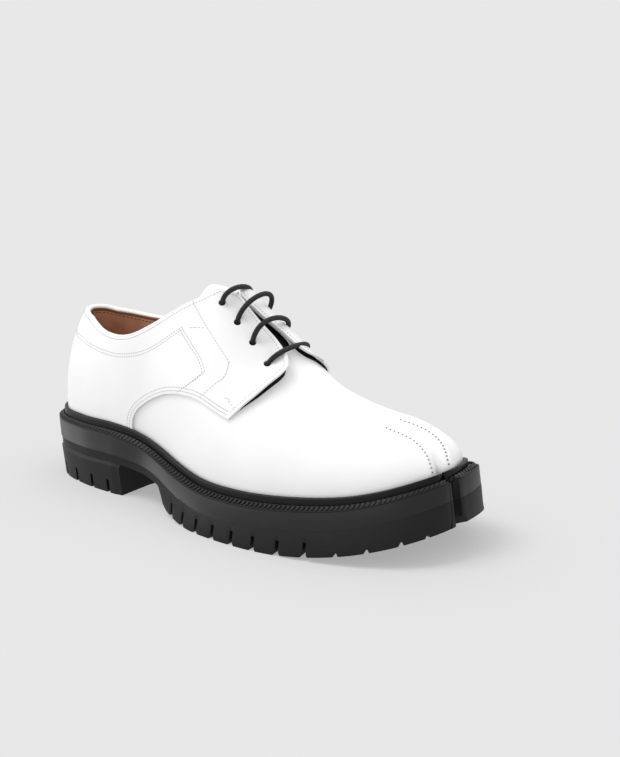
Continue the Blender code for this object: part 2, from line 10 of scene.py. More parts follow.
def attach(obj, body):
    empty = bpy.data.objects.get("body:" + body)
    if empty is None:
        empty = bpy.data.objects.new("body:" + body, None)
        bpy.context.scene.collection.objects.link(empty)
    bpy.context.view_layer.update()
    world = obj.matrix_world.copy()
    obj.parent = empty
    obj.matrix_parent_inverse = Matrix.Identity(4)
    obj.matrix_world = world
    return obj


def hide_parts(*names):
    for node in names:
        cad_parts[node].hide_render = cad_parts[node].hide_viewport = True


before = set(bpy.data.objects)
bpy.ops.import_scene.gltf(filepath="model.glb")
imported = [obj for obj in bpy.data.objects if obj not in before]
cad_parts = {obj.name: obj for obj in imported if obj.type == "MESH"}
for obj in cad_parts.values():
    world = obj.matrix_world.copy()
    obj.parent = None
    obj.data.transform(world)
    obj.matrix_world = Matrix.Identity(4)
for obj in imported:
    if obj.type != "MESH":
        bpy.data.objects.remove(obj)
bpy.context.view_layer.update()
print("stage: frame loaded,", len(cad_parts), "nodes")

# Sizes are millimetres: x from the heel's back to the toe, y from the outer side to the inner, z up
shoe = {
    "length": 305.0, "backX": 4.8, "fitGap": 0.3, "tipY": 9.2, "loopPoints": 1440,
    "splitY": -7.0, "splitWidth": 3.3, "splitDip": 1.0, "splitDipReach": 3.5, "splitEnd": 279.0,
    "weltThickness": 3.0, "heelBand": 5.7, "springStart": 205.0, "springHeight": 18.9,
    "heelPole": 40.0, "toePole": 252.0, "toePoleSlope": -0.24,
    "toeFullness": 0.70, "toeCrown": 0.76, "toeBulge": 2.5, "innerToe": 0.14,
}
sideNames = {-1: "outer", 1: "inner"}


def smoothThrough(knots, values, at):  # smooth curve through a table's rows, level past its ends
    knots = np.asarray(knots, float)
    values = np.asarray(values, float)
    steps = np.diff(knots)
    slopes = np.diff(values) / steps
    tangents = np.empty_like(values)
    tangents[1:-1] = (slopes[:-1] * steps[1:] + slopes[1:] * steps[:-1]) / (steps[1:] + steps[:-1])
    tangents[0] = 1.5 * slopes[0] - 0.5 * tangents[1] if len(values) > 2 else slopes[0]
    tangents[-1] = 1.5 * slopes[-1] - 0.5 * tangents[-2] if len(values) > 2 else slopes[0]
    at = np.clip(np.asarray(at, float), knots[0], knots[-1])
    row = np.clip(np.searchsorted(knots, at, side="right") - 1, 0, len(steps) - 1)
    s = (at - knots[row]) / steps[row]
    return ((2 * s**3 - 3 * s**2 + 1) * values[row] + (s**3 - 2 * s**2 + s) * steps[row] * tangents[row]
            + (3 * s**2 - 2 * s**3) * values[row + 1] + (s**3 - s**2) * steps[row] * tangents[row + 1])


def ease(low, high, at):  # 0 before low, 1 after high, smooth between
    s = np.clip((np.asarray(at, float) - low) / (high - low), 0, 1)
    return s * s * (3 - 2 * s)


def unit(vectors):
    return vectors / np.maximum(np.linalg.norm(vectors, axis=-1, keepdims=True), 1e-9)


def runAlong(points):  # distance along a path from its start
    return np.r_[0, np.cumsum(np.linalg.norm(np.diff(points, axis=0), axis=1))]


def smoothLine(points, count):  # an even path through the points
    points = np.asarray(points, float)
    run = runAlong(points)
    at = np.linspace(0, run[-1], count)
    return np.stack([smoothThrough(run, column, at) for column in points.T], axis=1)


def stationsOver(spans):  # spans of (from, to, count) joined, in rising order
    return np.unique(np.concatenate([np.linspace(*span) for span in spans]))


class Rule:  # rows by their first column, with named columns
    def __init__(self, columns, rows):
        self.columns = columns
        self.rows = np.array(rows, float)

    def at(self, column, x):
        return smoothThrough(self.rows[:, 0], self.rows[:, self.columns.index(column)], x)


outlineRule = Rule(("x", "outer", "inner"), (  # half widths of the welt
    (9, 13.6, 15.4), (20, 25.1, 27.6), (45, 34.6, 35.2), (75, 38.4, 34.0), (105, 39.8, 31.6),
    (135, 49.2, 32.0), (165, 57.0, 37.2), (195, 59.6, 44.3), (220, 57.8, 47.8), (245, 53.4, 48.6),
    (268, 46.0, 46.8), (286, 35.2, 41.6), (299, 20.2, 31.2)))
profileRule = Rule(("x", "weltTop", "midsoleDepth"), (
    (0, 38.4, 12.6), (45, 39.8, 13.2), (85, 39.5, 12.7), (120, 32.0, 10.0), (155, 24.8, 12.3),
    (190, 24.1, 12.7), (225, 26.6, 12.7), (265, 33.0, 12.7), (305, 46.4, 12.7)))
archRule = Rule(("x", "height"), (
    (0, 26.0), (60, 24.5), (85, 22.2), (104, 20.2), (115, 18.4), (119.5, 16.4), (122.5, 12.0), (124.5, 8.0),
    (128, 5.0), (136, 2.4), (146, 0.8), (158, 0.0)))
footRule = Rule(("x", "inset"), (  # the upper's foot, in from the welt's edge
    (0, 7.0), (60, 7.4), (118, 8.0), (150, 8.5), (190, 9.0), (250, 8.5), (305, 7.5)))
sideRule = Rule(("x", "midsoleLow", "treadTop", "treadLow"), (  # the sole's side, in from the welt's edge
    (0, 0.7, 1.1, 1.6), (60, 0.5, 1.0, 1.6), (118, 0.1, 0.6, 0.9), (150, -0.7, -0.68, -2.8),
    (190, -1.3, -1.28, -3.4), (305, -1.5, -1.48, -3.6)))
sectionRule = Rule(("x", "ridge", "shift", "roll", "outer", "inner", "crown", "bulge"), (
    (40, 122.5, 0.0, 0.00, 1.36, 1.36, 1.00, 3.0), (60, 139.0, 0.0, 0.00, 1.20, 1.20, 1.00, 2.7),
    (80, 150.0, 0.0, 0.00, 1.10, 1.08, 1.00, 3.2), (105, 153.0, 0.0, 0.05, 1.10, 0.90, 1.00, 3.5),
    (130, 146.0, 0.5, 0.12, 1.12, 0.70, 1.00, 3.5), (150, 135.0, 1.0, 0.18, 1.08, 0.58, 1.00, 3.5),
    (170, 116.5, 1.5, 0.18, 1.02, 0.58, 0.97, 3.5), (190, 99.2, 2.0, 0.12, 0.95, 0.66, 0.92, 3.5),
    (210, 84.8, 2.5, 0.03, 0.90, 0.78, 0.88, 3.5), (230, 77.0, 3.5, 0.00, 0.86, 0.81, 0.84, 3.5),
    (252, 72.0, 5.0, 0.00, 0.82, 0.82, 0.82, 3.0)))
collarRule = Rule(("x", "outer", "inner"), (  # height of the topline
    (10, 110.8, 111.2), (25, 110.2, 110.4), (45, 105.6, 106.4), (65, 101.0, 104.0), (85, 102.5, 104.8),
    (105, 112.0, 110.5), (125, 124.5, 122.0), (140, 133.0, 131.5), (150, 142.0, 141.0), (160, 170.0, 170.0)))


# Forms of the sole
def closedCurve(points, count):
    ring = np.asarray(points, float)
    lap = 3  # points repeated past each end
    ring = np.concatenate([ring[-lap:], ring, ring[:lap]])
    run = runAlong(ring)
    at = np.linspace(run[lap], run[-lap], count, endpoint=False)
    return np.c_[smoothThrough(run, ring[:, 0], at), smoothThrough(run, ring[:, 1], at)]


def makeWeltEdge():
    outer = [(x, -width) for x, width, _ in outlineRule.rows]
    inner = [(x, width) for x, _, width in outlineRule.rows[::-1]]
    corners = [(shoe["backX"], 0), *outer, (shoe["length"], shoe["tipY"]), *inner]
    loop = closedCurve(corners, shoe["loopPoints"])
    dip = shoe["splitDip"] * np.exp(-((loop[:, 1] - shoe["splitY"]) / shoe["splitDipReach"]) ** 2)
    loop[:, 0] -= np.where(loop[:, 0] > shoe["length"] / 2, dip, 0)
    return loop


def inwardNormals(loop):
    along = np.roll(loop, -1, axis=0) - np.roll(loop, 1, axis=0)
    return unit(np.c_[-along[:, 1], along[:, 0]])


weltEdge = makeWeltEdge()
weltInward = inwardNormals(weltEdge)


def insetLoop(inset):  # the welt's edge moved in by a distance that depends on x
    return weltEdge + weltInward * inset(weltEdge[:, 0])[:, None]


def level(distance):
    return lambda x: np.full_like(np.asarray(x, float), distance)


def weltTop(x):
    return profileRule.at("weltTop", x)


def midsoleBottom(x):
    return weltTop(x) - profileRule.at("midsoleDepth", x)


def midsoleTop(x):
    return weltTop(x) - shoe["weltThickness"] - shoe["fitGap"]


def outsoleTop(x):
    return midsoleBottom(x) - shoe["fitGap"]


def outsoleBottom(x):
    start = shoe["springStart"]
    rise = np.clip(np.asarray(x, float) - start, 0, None) / (shoe["length"] - start)
    arch = np.maximum(archRule.at("height", x), 0)
    return np.minimum(outsoleTop(x) - shoe["heelBand"], arch + shoe["springHeight"] * rise**2)


frameMiddle = np.array((153.86, -5.46, 0.0))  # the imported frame's origin, under the middle of the outline
mm = 0.001  # in metres


def toFrame(points):
    return (np.asarray(points, float) - frameMiddle) * mm


# Camera at the photograph's angle
cameraView = {
    "azimuth": 38.27, "elevation": 16.85, "distance": 850.0, "aim": (152.5, -4.0, 45.0),
    "aimPixel": (239.61, 434.19), "framePixels": (620, 757), "focalPixels": 1385.93, "sensor": 36.0,
    "rounds": 20, "step": 0.9, "clip": (0.01, 200.0),
}


def lookAlong(yaw, pitch):
    flat = math.cos(pitch)
    return Vector((-math.sin(yaw) * flat, math.cos(yaw) * flat, math.sin(pitch)))


def makeCamera():
    yaw = math.radians(cameraView["azimuth"])
    pitch = -math.radians(cameraView["elevation"])
    ray = lookAlong(yaw, pitch)
    aim = Vector(toFrame(cameraView["aim"]).tolist())
    place = aim - ray * cameraView["distance"] * mm
    wide, tall = cameraView["framePixels"]
    pixelX = (cameraView["aimPixel"][0] - wide / 2) / cameraView["focalPixels"]
    pixelY = (tall / 2 - cameraView["aimPixel"][1]) / cameraView["focalPixels"]
    for _ in range(cameraView["rounds"]):  # turns until the aim falls on its pixel
        forward = lookAlong(yaw, pitch)
        right = Vector((math.cos(yaw), math.sin(yaw), 0.0))
        up = right.cross(forward)
        yaw -= cameraView["step"] * (ray.dot(right) / ray.dot(forward) - pixelX)
        pitch += cameraView["step"] * (ray.dot(up) / ray.dot(forward) - pixelY)
    data = bpy.data.cameras.new("camera")
    data.sensor_width = cameraView["sensor"]
    data.lens = cameraView["focalPixels"] / tall * cameraView["sensor"]
    data.clip_start, data.clip_end = cameraView["clip"]
    camera = bpy.data.objects.new("camera", data)
    bpy.context.scene.collection.objects.link(camera)
    turn = Matrix((right, up, -forward)).transposed()
    camera.matrix_world = Matrix.Translation(place) @ turn.to_4x4()
    bpy.context.scene.camera = camera


makeCamera()
print("stage: camera")


# Materials
class Wire:  # a node's socket that takes part in sums
    def __init__(self, tree, socket):
        self.tree = tree
        self.socket = socket

    def node(self, kind, settings, inputs, output=0):
        node = self.tree.nodes.new(kind)
        for key, value in settings.items():
            setattr(node, key, value)
        for key, value in inputs.items():
            if isinstance(value, Wire):
                self.tree.links.new(value.socket, node.inputs[key])
            else:
                node.inputs[key].default_value = value
        return Wire(self.tree, node.outputs[output])

    def sum(self, operation, first, second=0.0):
        return self.node("ShaderNodeMath", {"operation": operation}, {0: first, 1: second})

    def __add__(self, other):
        return self.sum("ADD", self, other)

    def __radd__(self, other):
        return self.sum("ADD", other, self)

    def __sub__(self, other):
        return self.sum("SUBTRACT", self, other)

    def __rsub__(self, other):
        return self.sum("SUBTRACT", other, self)

    def __mul__(self, other):
        return self.sum("MULTIPLY", self, other)

    def __rmul__(self, other):
        return self.sum("MULTIPLY", other, self)

    def wave(self):
        return self.sum("SINE", self)

    def larger(self, other):
        return self.sum("MAXIMUM", self, other)

    def between(self, low, high):  # 0 at low, 1 at high
        return self.node("ShaderNodeMapRange", {"interpolation_type": "SMOOTHSTEP"},
                         {"Value": self, "From Min": low, "From Max": high})

    def tint(self, first, second):  # first colour where 0, second where 1
        return self.node("ShaderNodeMix", {"data_type": "RGBA"}, {0: self, 6: first, 7: second}, 2)

    def noise(self, scale, detail=3.0, rough=0.5):
        return self.node("ShaderNodeTexNoise", {}, {
            "Vector": self, "Scale": scale, "Detail": detail, "Roughness": rough})

    def pores(self, scale, edge):  # 0 in the lines between the grain's cells, 1 on them
        cells = self.node("ShaderNodeTexVoronoi", {"feature": "DISTANCE_TO_EDGE"},
                          {"Vector": self, "Scale": scale}, "Distance")
        return cells.between(0.0, edge)

    def attribute(self, name):
        return self.node("ShaderNodeAttribute", {"attribute_name": name}, {}, "Fac")

    def bump(self, strength, distance):
        return self.node("ShaderNodeBump", {}, {"Strength": strength, "Distance": distance, "Height": self})


def grey(tone):
    return (tone, tone, tone, 1.0)


def startMaterial(name):
    material = bpy.data.materials.new(name)
    material.use_nodes = True
    tree = material.node_tree
    shader = tree.nodes["Principled BSDF"]
    place = Wire(tree, tree.nodes.new("ShaderNodeTexCoord").outputs["Object"])
    return material, shader, place


def connect(shader, links, constants):
    for name, value in constants.items():
        shader.inputs[name].default_value = value
    for name, wire in links.items():
        wire.tree.links.new(wire.socket, shader.inputs[name])


# Finishes: noise as scale, detail, roughness; pores as scale, edge; bump as strength, depth in metres
whiteFinish = {
    "light": (0.79, 0.79, 0.788, 1.0), "soft": (0.755, 0.755, 0.753, 1.0), "cloud": (26.0,),
    "blotch": (0.35, 0.7), "blotchTone": 0.8, "lineTone": 0.2, "smoothest": 0.33, "roughSpread": 0.14,
    "lineRough": 0.06, "pores": (950.0, 0.12), "poreHeight": 0.55, "fine": (2600.0, 2.0),
    "fineHeight": 0.25, "wrinkle": (160.0, 4.0, 0.6), "wrinkleHeight": 0.5, "bump": (0.10, 0.00012),
    "shine": {"Coat Weight": 0.10, "Coat Roughness": 0.28, "Specular IOR Level": 0.45},
}


def whiteLeather(name, finish):
    material, shader, place = startMaterial(name)
    cloud = place.noise(*finish["cloud"])
    pores = place.pores(*finish["pores"])
    fine = place.noise(*finish["fine"])
    wrinkle = place.noise(*finish["wrinkle"])
    tone = cloud.between(*finish["blotch"]) * finish["blotchTone"] + (1 - pores) * finish["lineTone"]
    rough = cloud * finish["roughSpread"] + finish["smoothest"] + (1 - pores) * finish["lineRough"]
    height = pores * finish["poreHeight"] + fine * finish["fineHeight"] + wrinkle * finish["wrinkleHeight"]
    connect(shader, {
        "Base Color": tone.tint(finish["light"], finish["soft"]), "Roughness": rough,
        "Normal": height.bump(*finish["bump"]),
    }, finish["shine"])
    return material


# the tongue's dark colour is painted shade, used inside the throat
tongueFinish = {
    "light": (0.80, 0.80, 0.797, 1.0), "paintedShade": (0.012, 0.012, 0.013, 1.0), "cloud": (30.0,),
    "smoothest": 0.36, "roughSpread": 0.15, "darkRough": 0.25, "pores": (1000.0, 0.12), "poreHeight": 0.5,
    "wrinkle": (150.0, 4.0), "bump": (0.12, 0.00012), "shine": {"Coat Weight": 0.05, "Coat Roughness": 0.3},
}


def tongueLeather(name, finish):
    material, shader, place = startMaterial(name)
    cloud = place.noise(*finish["cloud"])
    height = place.pores(*finish["pores"]) * finish["poreHeight"] + place.noise(*finish["wrinkle"])
    # painted shade: the mesh attribute marks where the tongue is darkened inside the throat
    throatShade = place.attribute("throatShade")
    connect(shader, {
        "Base Color": throatShade.tint(finish["light"], finish["paintedShade"]),
        "Roughness": cloud * finish["roughSpread"] + finish["smoothest"] + throatShade * finish["darkRough"],
        "Normal": height.bump(*finish["bump"]),
    }, finish["shine"])
    return material


tanFinish = {
    # the edge colour is painted shade along the lining's top edge
    "light": (0.66, 0.37, 0.235, 1.0), "deep": (0.50, 0.255, 0.15, 1.0), "edge": (0.22, 0.10, 0.055, 1.0),
    "edgeShade": (1.7, 2.3), "cloud": (40.0, 4.0, 0.6), "blotch": (0.3, 0.72), "smoothest": 0.45,
    "roughSpread": 0.2, "pores": (800.0, 0.16), "poreHeight": 0.6, "wrinkle": (300.0, 4.0),
    "wrinkleHeight": 0.7, "bump": (0.2, 0.00015), "shine": {"Specular IOR Level": 0.35},
}


def tanLeather(name, finish, edgeShaded):  # when set, painted shade darkens it along its top edge
    material, shader, place = startMaterial(name)
    cloud = place.noise(*finish["cloud"])
    pores = place.pores(*finish["pores"])
    height = pores * finish["poreHeight"] + place.noise(*finish["wrinkle"]) * finish["wrinkleHeight"]
    tone = cloud.between(*finish["blotch"]).tint(finish["light"], finish["deep"])
    if edgeShaded:
        edgeShade = 1 - place.attribute("fromEdge").between(*finish["edgeShade"])
        tone = edgeShade.tint(tone, finish["edge"])
    connect(shader, {
        "Base Color": tone, "Roughness": cloud * finish["roughSpread"] + finish["smoothest"],
        "Normal": height.bump(*finish["bump"]),
    }, finish["shine"])
    return material


rubberFinish = {
    "cloud": (22.0, 4.0, 0.6), "cloudTone": 0.5, "cloudHeight": 0.3, "speck": (1500.0, 3.0, 0.6),
    "speckHeight": 0.6, "scuff": (90.0, 5.0, 0.7), "scuffed": (0.56, 0.78), "scuffRough": 0.08,
    "scuffLight": 2, "roughSpread": 0.14, "bump": (0.14, 0.00012),
}


def blackRubber(name, tone, roughness, gloss, dust, finish=rubberFinish):
    material, shader, place = startMaterial(name)
    cloud = place.noise(*finish["cloud"])
    scuff = place.noise(*finish["scuff"]).between(*finish["scuffed"])
    height = place.noise(*finish["speck"]) * finish["speckHeight"] + cloud * finish["cloudHeight"]
    smoothest = roughness - finish["roughSpread"] / 2
    worn = cloud * finish["cloudTone"] + scuff * dust
    connect(shader, {
        "Base Color": worn.tint(grey(tone), grey(tone * finish["scuffLight"])),
        "Roughness": cloud * finish["roughSpread"] + smoothest + scuff * finish["scuffRough"],
        "Normal": height.bump(*finish["bump"]),
    }, {"Specular IOR Level": gloss})
    return material


# high is a painted highlight on the braid's raised strands, tone the lace's own black
laceFinish = {
    "strands": 8.0, "turnsPerLength": 0.62, "raised": (-0.2, 1.0), "tone": 0.004, "high": 0.027,
    "fibre": (2400.0,), "fibreShare": 0.3, "roughest": 0.78, "roughSpread": 0.16, "bump": (0.9, 0.0004),
    "shine": {"Specular IOR Level": 0.3},
}


def laceCotton(name, finish):
    material, shader, place = startMaterial(name)
    spread = place.attribute("around") * (finish["strands"] * math.pi)
    forward = place.attribute("along") * (finish["turnsPerLength"] * 2 * math.pi)
    braid = (forward + spread).wave().larger((forward - spread).wave())
    weave = braid.between(*finish["raised"])
    fibre = place.noise(*finish["fibre"]) * finish["fibreShare"]
    # painted highlight: raised strands get the lighter colour, the grooves between stay dark
    braidHighlight = weave * (1 - finish["fibreShare"]) + fibre
    connect(shader, {
        "Base Color": braidHighlight.tint(grey(finish["tone"]), grey(finish["high"])),
        "Roughness": finish["roughest"] - weave * finish["roughSpread"],
        "Normal": (weave + fibre).bump(*finish["bump"]),
    }, finish["shine"])
    return material


threadFinish = {
    "twist": (3800.0, 2.0), "shadow": 0.86, "smoothest": 0.5, "roughSpread": 0.2, "bump": (0.3, 0.0001),
}


def twistedThread(name, tone, finish=threadFinish):
    material, shader, place = startMaterial(name)
    twist = place.noise(*finish["twist"])
    connect(shader, {
        "Base Color": twist.tint(grey(tone * finish["shadow"]), grey(tone)),
        "Roughness": twist * finish["roughSpread"] + finish["smoothest"],
        "Normal": twist.bump(*finish["bump"]),
    }, {})
    return material


whiteMaterial = whiteLeather("whiteLeather", whiteFinish)
tongueMaterial = tongueLeather("tongueLeather", tongueFinish)
liningMaterial = tanLeather("tanLining", tanFinish, True)
insoleMaterial = tanLeather("tanInsole", tanFinish, False)
# black finishes: tone, roughness, gloss, dust
# the material of the dark sheets that paint the shade under the flaps
shadeSheetMaterial = blackRubber("darkUnderlay", 0.006, 0.7, 0.2, 0.2)
treadMaterial = blackRubber("treadRubber", 0.005, 0.50, 0.22, 0.6)
heelMaterial = blackRubber("heelRubber", 0.006, 0.48, 0.23, 0.5)
midsoleMaterial = blackRubber("midsoleRubber", 0.005, 0.38, 0.32, 0.4)
weltMaterial = blackRubber("weltRubber", 0.005, 0.38, 0.18, 0.25)
ribMaterial = blackRubber("weltStitch", 0.007, 0.38, 0.24, 0.2)
laceMaterial = laceCotton("laceCotton", laceFinish)
seamThread = twistedThread("seamThread", 0.46)
brownThread = twistedThread("brownThread", 0.045)
# dark beads that paint the shade inside the needle holes and the toe's holes
needleHoleShade = twistedThread("needleHoleShade", 0.10)
toeHoleShade = twistedThread("toeHoleShade", 0.22)
print("stage: materials")


# Mesh helpers
def linkPiece(name, data):
    piece = bpy.data.objects.new(name, data)
    bpy.context.scene.collection.objects.link(piece)
    return piece


def gridFaces(columns, rows, start, flip):
    faces = []
    for i in range(columns - 1):
        for k in range(rows - 1):
            here = start + i * rows + k
            face = (here, here + rows, here + rows + 1, here + 1)
            faces.append(face[::-1] if flip else face)
    return faces


def buildMesh(name, points, faces, material, values=None):
    data = bpy.data.meshes.new(name)
    data.from_pydata(toFrame(points).tolist(), [], faces)
    for key, numbers in (values or {}).items():
        data.attributes.new(key, "FLOAT", "POINT").data.foreach_set("value", np.asarray(numbers, np.float32))
    data.materials.append(material)
    return data


merge = {"sheet": 0.00002, "sliver": 0.000005, "sole": 0.00001}  # metres


def editMesh(data, *steps):
    mesh = bmesh.new()
    mesh.from_mesh(data)
    for step in steps:
        step(mesh)
    mesh.to_mesh(data)
    mesh.free()


def joinSheet(mesh):
    bmesh.ops.remove_doubles(mesh, verts=mesh.verts, dist=merge["sheet"])
    bmesh.ops.dissolve_degenerate(mesh, edges=mesh.edges, dist=merge["sliver"])


def joinSole(mesh):
    bmesh.ops.delete(mesh, geom=[vert for vert in mesh.verts if not vert.link_faces], context="VERTS")
    bmesh.ops.remove_doubles(mesh, verts=mesh.verts, dist=merge["sole"])


def turnOutward(mesh):
    bmesh.ops.recalc_face_normals(mesh, faces=mesh.faces)


def applyModifiers(piece):  # the modifiers' result becomes the piece's plain mesh
    graph = bpy.context.evaluated_depsgraph_get()
    data = bpy.data.meshes.new_from_object(piece.evaluated_get(graph), depsgraph=graph)
    piece.modifiers.clear()
    old = piece.data
    if piece.type == "MESH":
        piece.data = data
        bpy.data.meshes.remove(old)
        return piece
    name = piece.name
    bpy.data.objects.remove(piece, do_unlink=True)
    return linkPiece(name, data)


def shade(piece, angle):
    piece.data.shade_smooth()
    piece.data.set_sharp_from_angle(angle=math.radians(angle))


solePieces = []


def settle(piece, slot, *nodes):
    if nodes and slot.endswith("rubber"):
        solePieces.append(piece)
    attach(piece, "root")
    if nodes:
        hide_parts(*nodes)
    print("stage:", piece.name, len(piece.data.polygons), "faces")


def cutAway(piece, cutters):  # takes the cutter's solid out of the piece
    data = bpy.data.meshes.new("cutter")
    turnOutward(cutters)
    cutters.to_mesh(data)
    cutters.free()
    tool = linkPiece("cutter", data)
    boolean = piece.modifiers.new("cut", "BOOLEAN")
    boolean.operation = "DIFFERENCE"
    boolean.solver = "EXACT"
    boolean.object = tool
    applyModifiers(piece)
    bpy.data.objects.remove(tool, do_unlink=True)


def roundEdges(piece, width, segments, angle):
    bevel = piece.modifiers.new("round", "BEVEL")
    bevel.width = width * mm
    bevel.segments = segments
    bevel.limit_method = "ANGLE"
    bevel.angle_limit = math.radians(angle)


sheetEdge = {"segments": 3, "angle": 50}


def sheetPiece(name, grids, sheet, material, values=None):
    # grids of points and outward normals, joined where they meet and thickened inward
    points = []
    faces = []
    for grid, normals in grids:
        along = np.gradient(grid, axis=0)
        down = np.gradient(grid, axis=1)
        outward = np.sum(np.cross(along, down) * normals) > 0
        faces += gridFaces(grid.shape[0], grid.shape[1], len(points), not outward)
        points += grid.reshape(-1, 3).tolist()
    data = buildMesh(name, points, faces, material, values)
    editMesh(data, joinSheet)
    piece = linkPiece(name, data)
    solid = piece.modifiers.new("thickness", "SOLIDIFY")
    solid.thickness = sheet["thickness"] * mm
    solid.offset = -1.0
    if "rounding" in sheet:
        roundEdges(piece, sheet["rounding"], sheetEdge["segments"], sheetEdge["angle"])
    applyModifiers(piece)
    if "smooth" in sheet:
        shade(piece, sheet["smooth"])
    return piece


def ringLoft(name, rings, smooth, material, values=None):  # closed sections joined along a path
    rings = np.asarray(rings, float)
    count, sides = rings.shape[:2]
    faces = []
    for i in range(count - 1):
        for k in range(sides):
            m = (k + 1) % sides
            faces.append((i * sides + k, (i + 1) * sides + k, (i + 1) * sides + m, i * sides + m))
    faces.append(tuple(range(sides)))
    faces.append(tuple((count - 1) * sides + k for k in range(sides))[::-1])
    data = buildMesh(name, rings.reshape(-1, 3), faces, material, values)
    editMesh(data, turnOutward)
    piece = linkPiece(name, data)
    shade(piece, smooth)
    return piece


# Upper: ribs down from the ridge, fanned round the heel and the toe
innerCorner = {"depth": 2.2, "along": (262, 288), "across": (2, 22)}  # the inner toe stands further in


def makeFootInset():  # distance of the upper's foot from each point of the welt's edge
    deeper = ease(*innerCorner["along"], weltEdge[:, 0]) * ease(*innerCorner["across"], weltEdge[:, 1])
    return footRule.at("inset", weltEdge[:, 0]) + innerCorner["depth"] * deeper


footInset = makeFootInset()
footLoop = weltEdge + weltInward * footInset[:, None]
splitTurn = math.atan2(shoe["splitY"] - float(sectionRule.at("shift", shoe["toePole"])),
                       shoe["length"] - shoe["toePole"])


def footSide(x, side):
    points = footLoop[(footLoop[:, 1] - shoe["splitY"] / 2) * side > 0]
    points = points[np.argsort(points[:, 0])]
    return float(np.interp(x, points[:, 0], points[:, 1]))


def footFan(pole, angle):
    spread = footLoop - pole
    angles = np.arctan2(spread[:, 1], spread[:, 0])
    return float(np.interp(angle, angles, np.hypot(spread[:, 0], spread[:, 1]), period=2 * math.pi))


ribGrid = {"samples": 900, "rows": 141}


def ribCurve(station, side):  # points from the ridge to the foot
    spineX = min(max(station, shoe["heelPole"]), shoe["toePole"])
    spine = np.array([spineX, float(sectionRule.at("shift", spineX))])
    ridge, roll, crown, bulge, fullness = (
        float(sectionRule.at(key, spineX))
        for key in ("ridge", "roll", "crown", "bulge", sideNames[side]))
    slope = 0.0
    if shoe["heelPole"] <= station <= shoe["toePole"]:
        out = np.array([0.0, side])
        reach = abs(footSide(station, side) - spine[1])
    else:
        if station < shoe["heelPole"]:
            angle = side * (math.pi - station / shoe["heelPole"] * math.pi / 2)
        else:
            share = (station - shoe["toePole"]) / (shoe["length"] - shoe["toePole"])
            angle = side * math.pi / 2 + (splitTurn - side * math.pi / 2) * share
            ahead = math.cos(angle) ** 2
            slope = shoe["toePoleSlope"]
            fullness += (shoe["toeFullness"] - fullness) * ahead
            crown += (shoe["toeCrown"] - crown) * ahead
            bulge += (shoe["toeBulge"] - bulge) * ahead
            plump = shoe["innerToe"] * 4 * share * (1 - share) * (side > 0)
            fullness -= plump
            crown -= plump
        out = np.array([math.cos(angle), math.sin(angle)])
        reach = footFan(spine, angle)
    foot = float(midsoleTop(spine[0] + reach * out[0])) + shoe["fitGap"]
    turns = math.pi / 2 * (1 - np.linspace(0, 1, ribGrid["samples"]) ** 2)
    cosine = np.clip(np.cos(turns), 0, 1)
    away = reach * cosine**fullness + bulge * np.sin(2 * turns) * cosine**2
    plan = spine + away[:, None] * out
    top = ridge + (plan - spine) @ np.array([slope, roll])
    height = foot + (top - foot) * np.sin(turns) ** crown
    return np.c_[plan, height]


toeTrough = {  # the soft channel over the split, between the two stitched rows
    "rows": Rule(("x", "outer", "inner"), (
        (259, -8.9, 6.0), (264, -8.1, 7.4), (270, -7.0, 9.4), (277, -6.1, 10.6), (283, -7.3, 9.8),
        (288, -9.3, 7.6), (292, -11.8, 4.4), (296, -14.2, 0.4))),
    "depth": Rule(("x", "depth"), ((256, 0.0), (266, 0.35), (280, 1.0), (292, 1.5), (300, 1.7))),
    "crease": Rule(("x", "y"), ((284, -0.6), (290, -2.9), (294, -4.9), (298, -6.6))),
    "creaseDepth": 2.0, "creaseWidth": 1.5, "creaseSpan": (284.0, 297.0), "channelPower": 1.4,
    "lobeRise": 0.5, "lobeAt": 1.25, "lobeWidth": 0.42,
}


def troughDepth(points):
    x = points[..., 0]
    y = points[..., 1]
    outer = toeTrough["rows"].at("outer", x)
    inner = toeTrough["rows"].at("inner", x)
    across = (y - (outer + inner) / 2) / ((inner - outer) / 2)
    depth = toeTrough["depth"].at("depth", x)
    channel = depth * np.clip(1 - across**2, 0, 1) ** toeTrough["channelPower"]
    beside = (np.abs(across) - toeTrough["lobeAt"]) / toeTrough["lobeWidth"]
    lobes = toeTrough["lobeRise"] * depth * np.exp(-beside**2)
    fromCrease = (y - toeTrough["crease"].at("y", x)) / toeTrough["creaseWidth"]
    fold = toeTrough["creaseDepth"] * ease(*toeTrough["creaseSpan"], x) * np.exp(-fromCrease**2)
    return np.where(x > toeTrough["depth"].rows[0, 0], channel + fold - lobes, 0.0)


facingRule = {  # distance of the facing's edge from the ridge, by side
    -1: Rule(("x", "run"), (
        (145, 10.2), (151, 4.8), (159, 4.8), (170, 5.2), (180, 5.8), (185.5, 7.6), (190, 10.2),
        (193.7, 14.8))),
    1: Rule(("x", "run"), (
        (145, 9.0), (148, 1.8), (151, -1.8), (157, -1.6), (163, 0.1), (170, 2.0), (177, 3.3), (182, 3.7),
        (187, 4.2), (191.5, 5.4), (195.0, 8.6), (197.6, 14.5))),
}
facingStart = (139, 148)  # the topline turns into the facing
throatSag = {  # the ridge drops at the top of the throat, more on the inner side
    "depth": 3.0, "start": (134, 148), "stop": (156, 184),
    "across": {-1: Rule(("run", "share"), ((0, 1.0), (5, 0.55), (14, 0.15), (24, 0.0))),
               1: Rule(("run", "share"), ((0, 1.0), (16, 1.0), (26, 0.55), (40, 0.0)))},
}
backSink = {"depth": 1.1, "span": (60.0, 108.0)}  # the wall lies deeper under the quarters at the back
flankSpans = ((0, 40, 33), (40, 130, 91), (130, 210, 161), (210, 252, 43), (252, 305, 107))


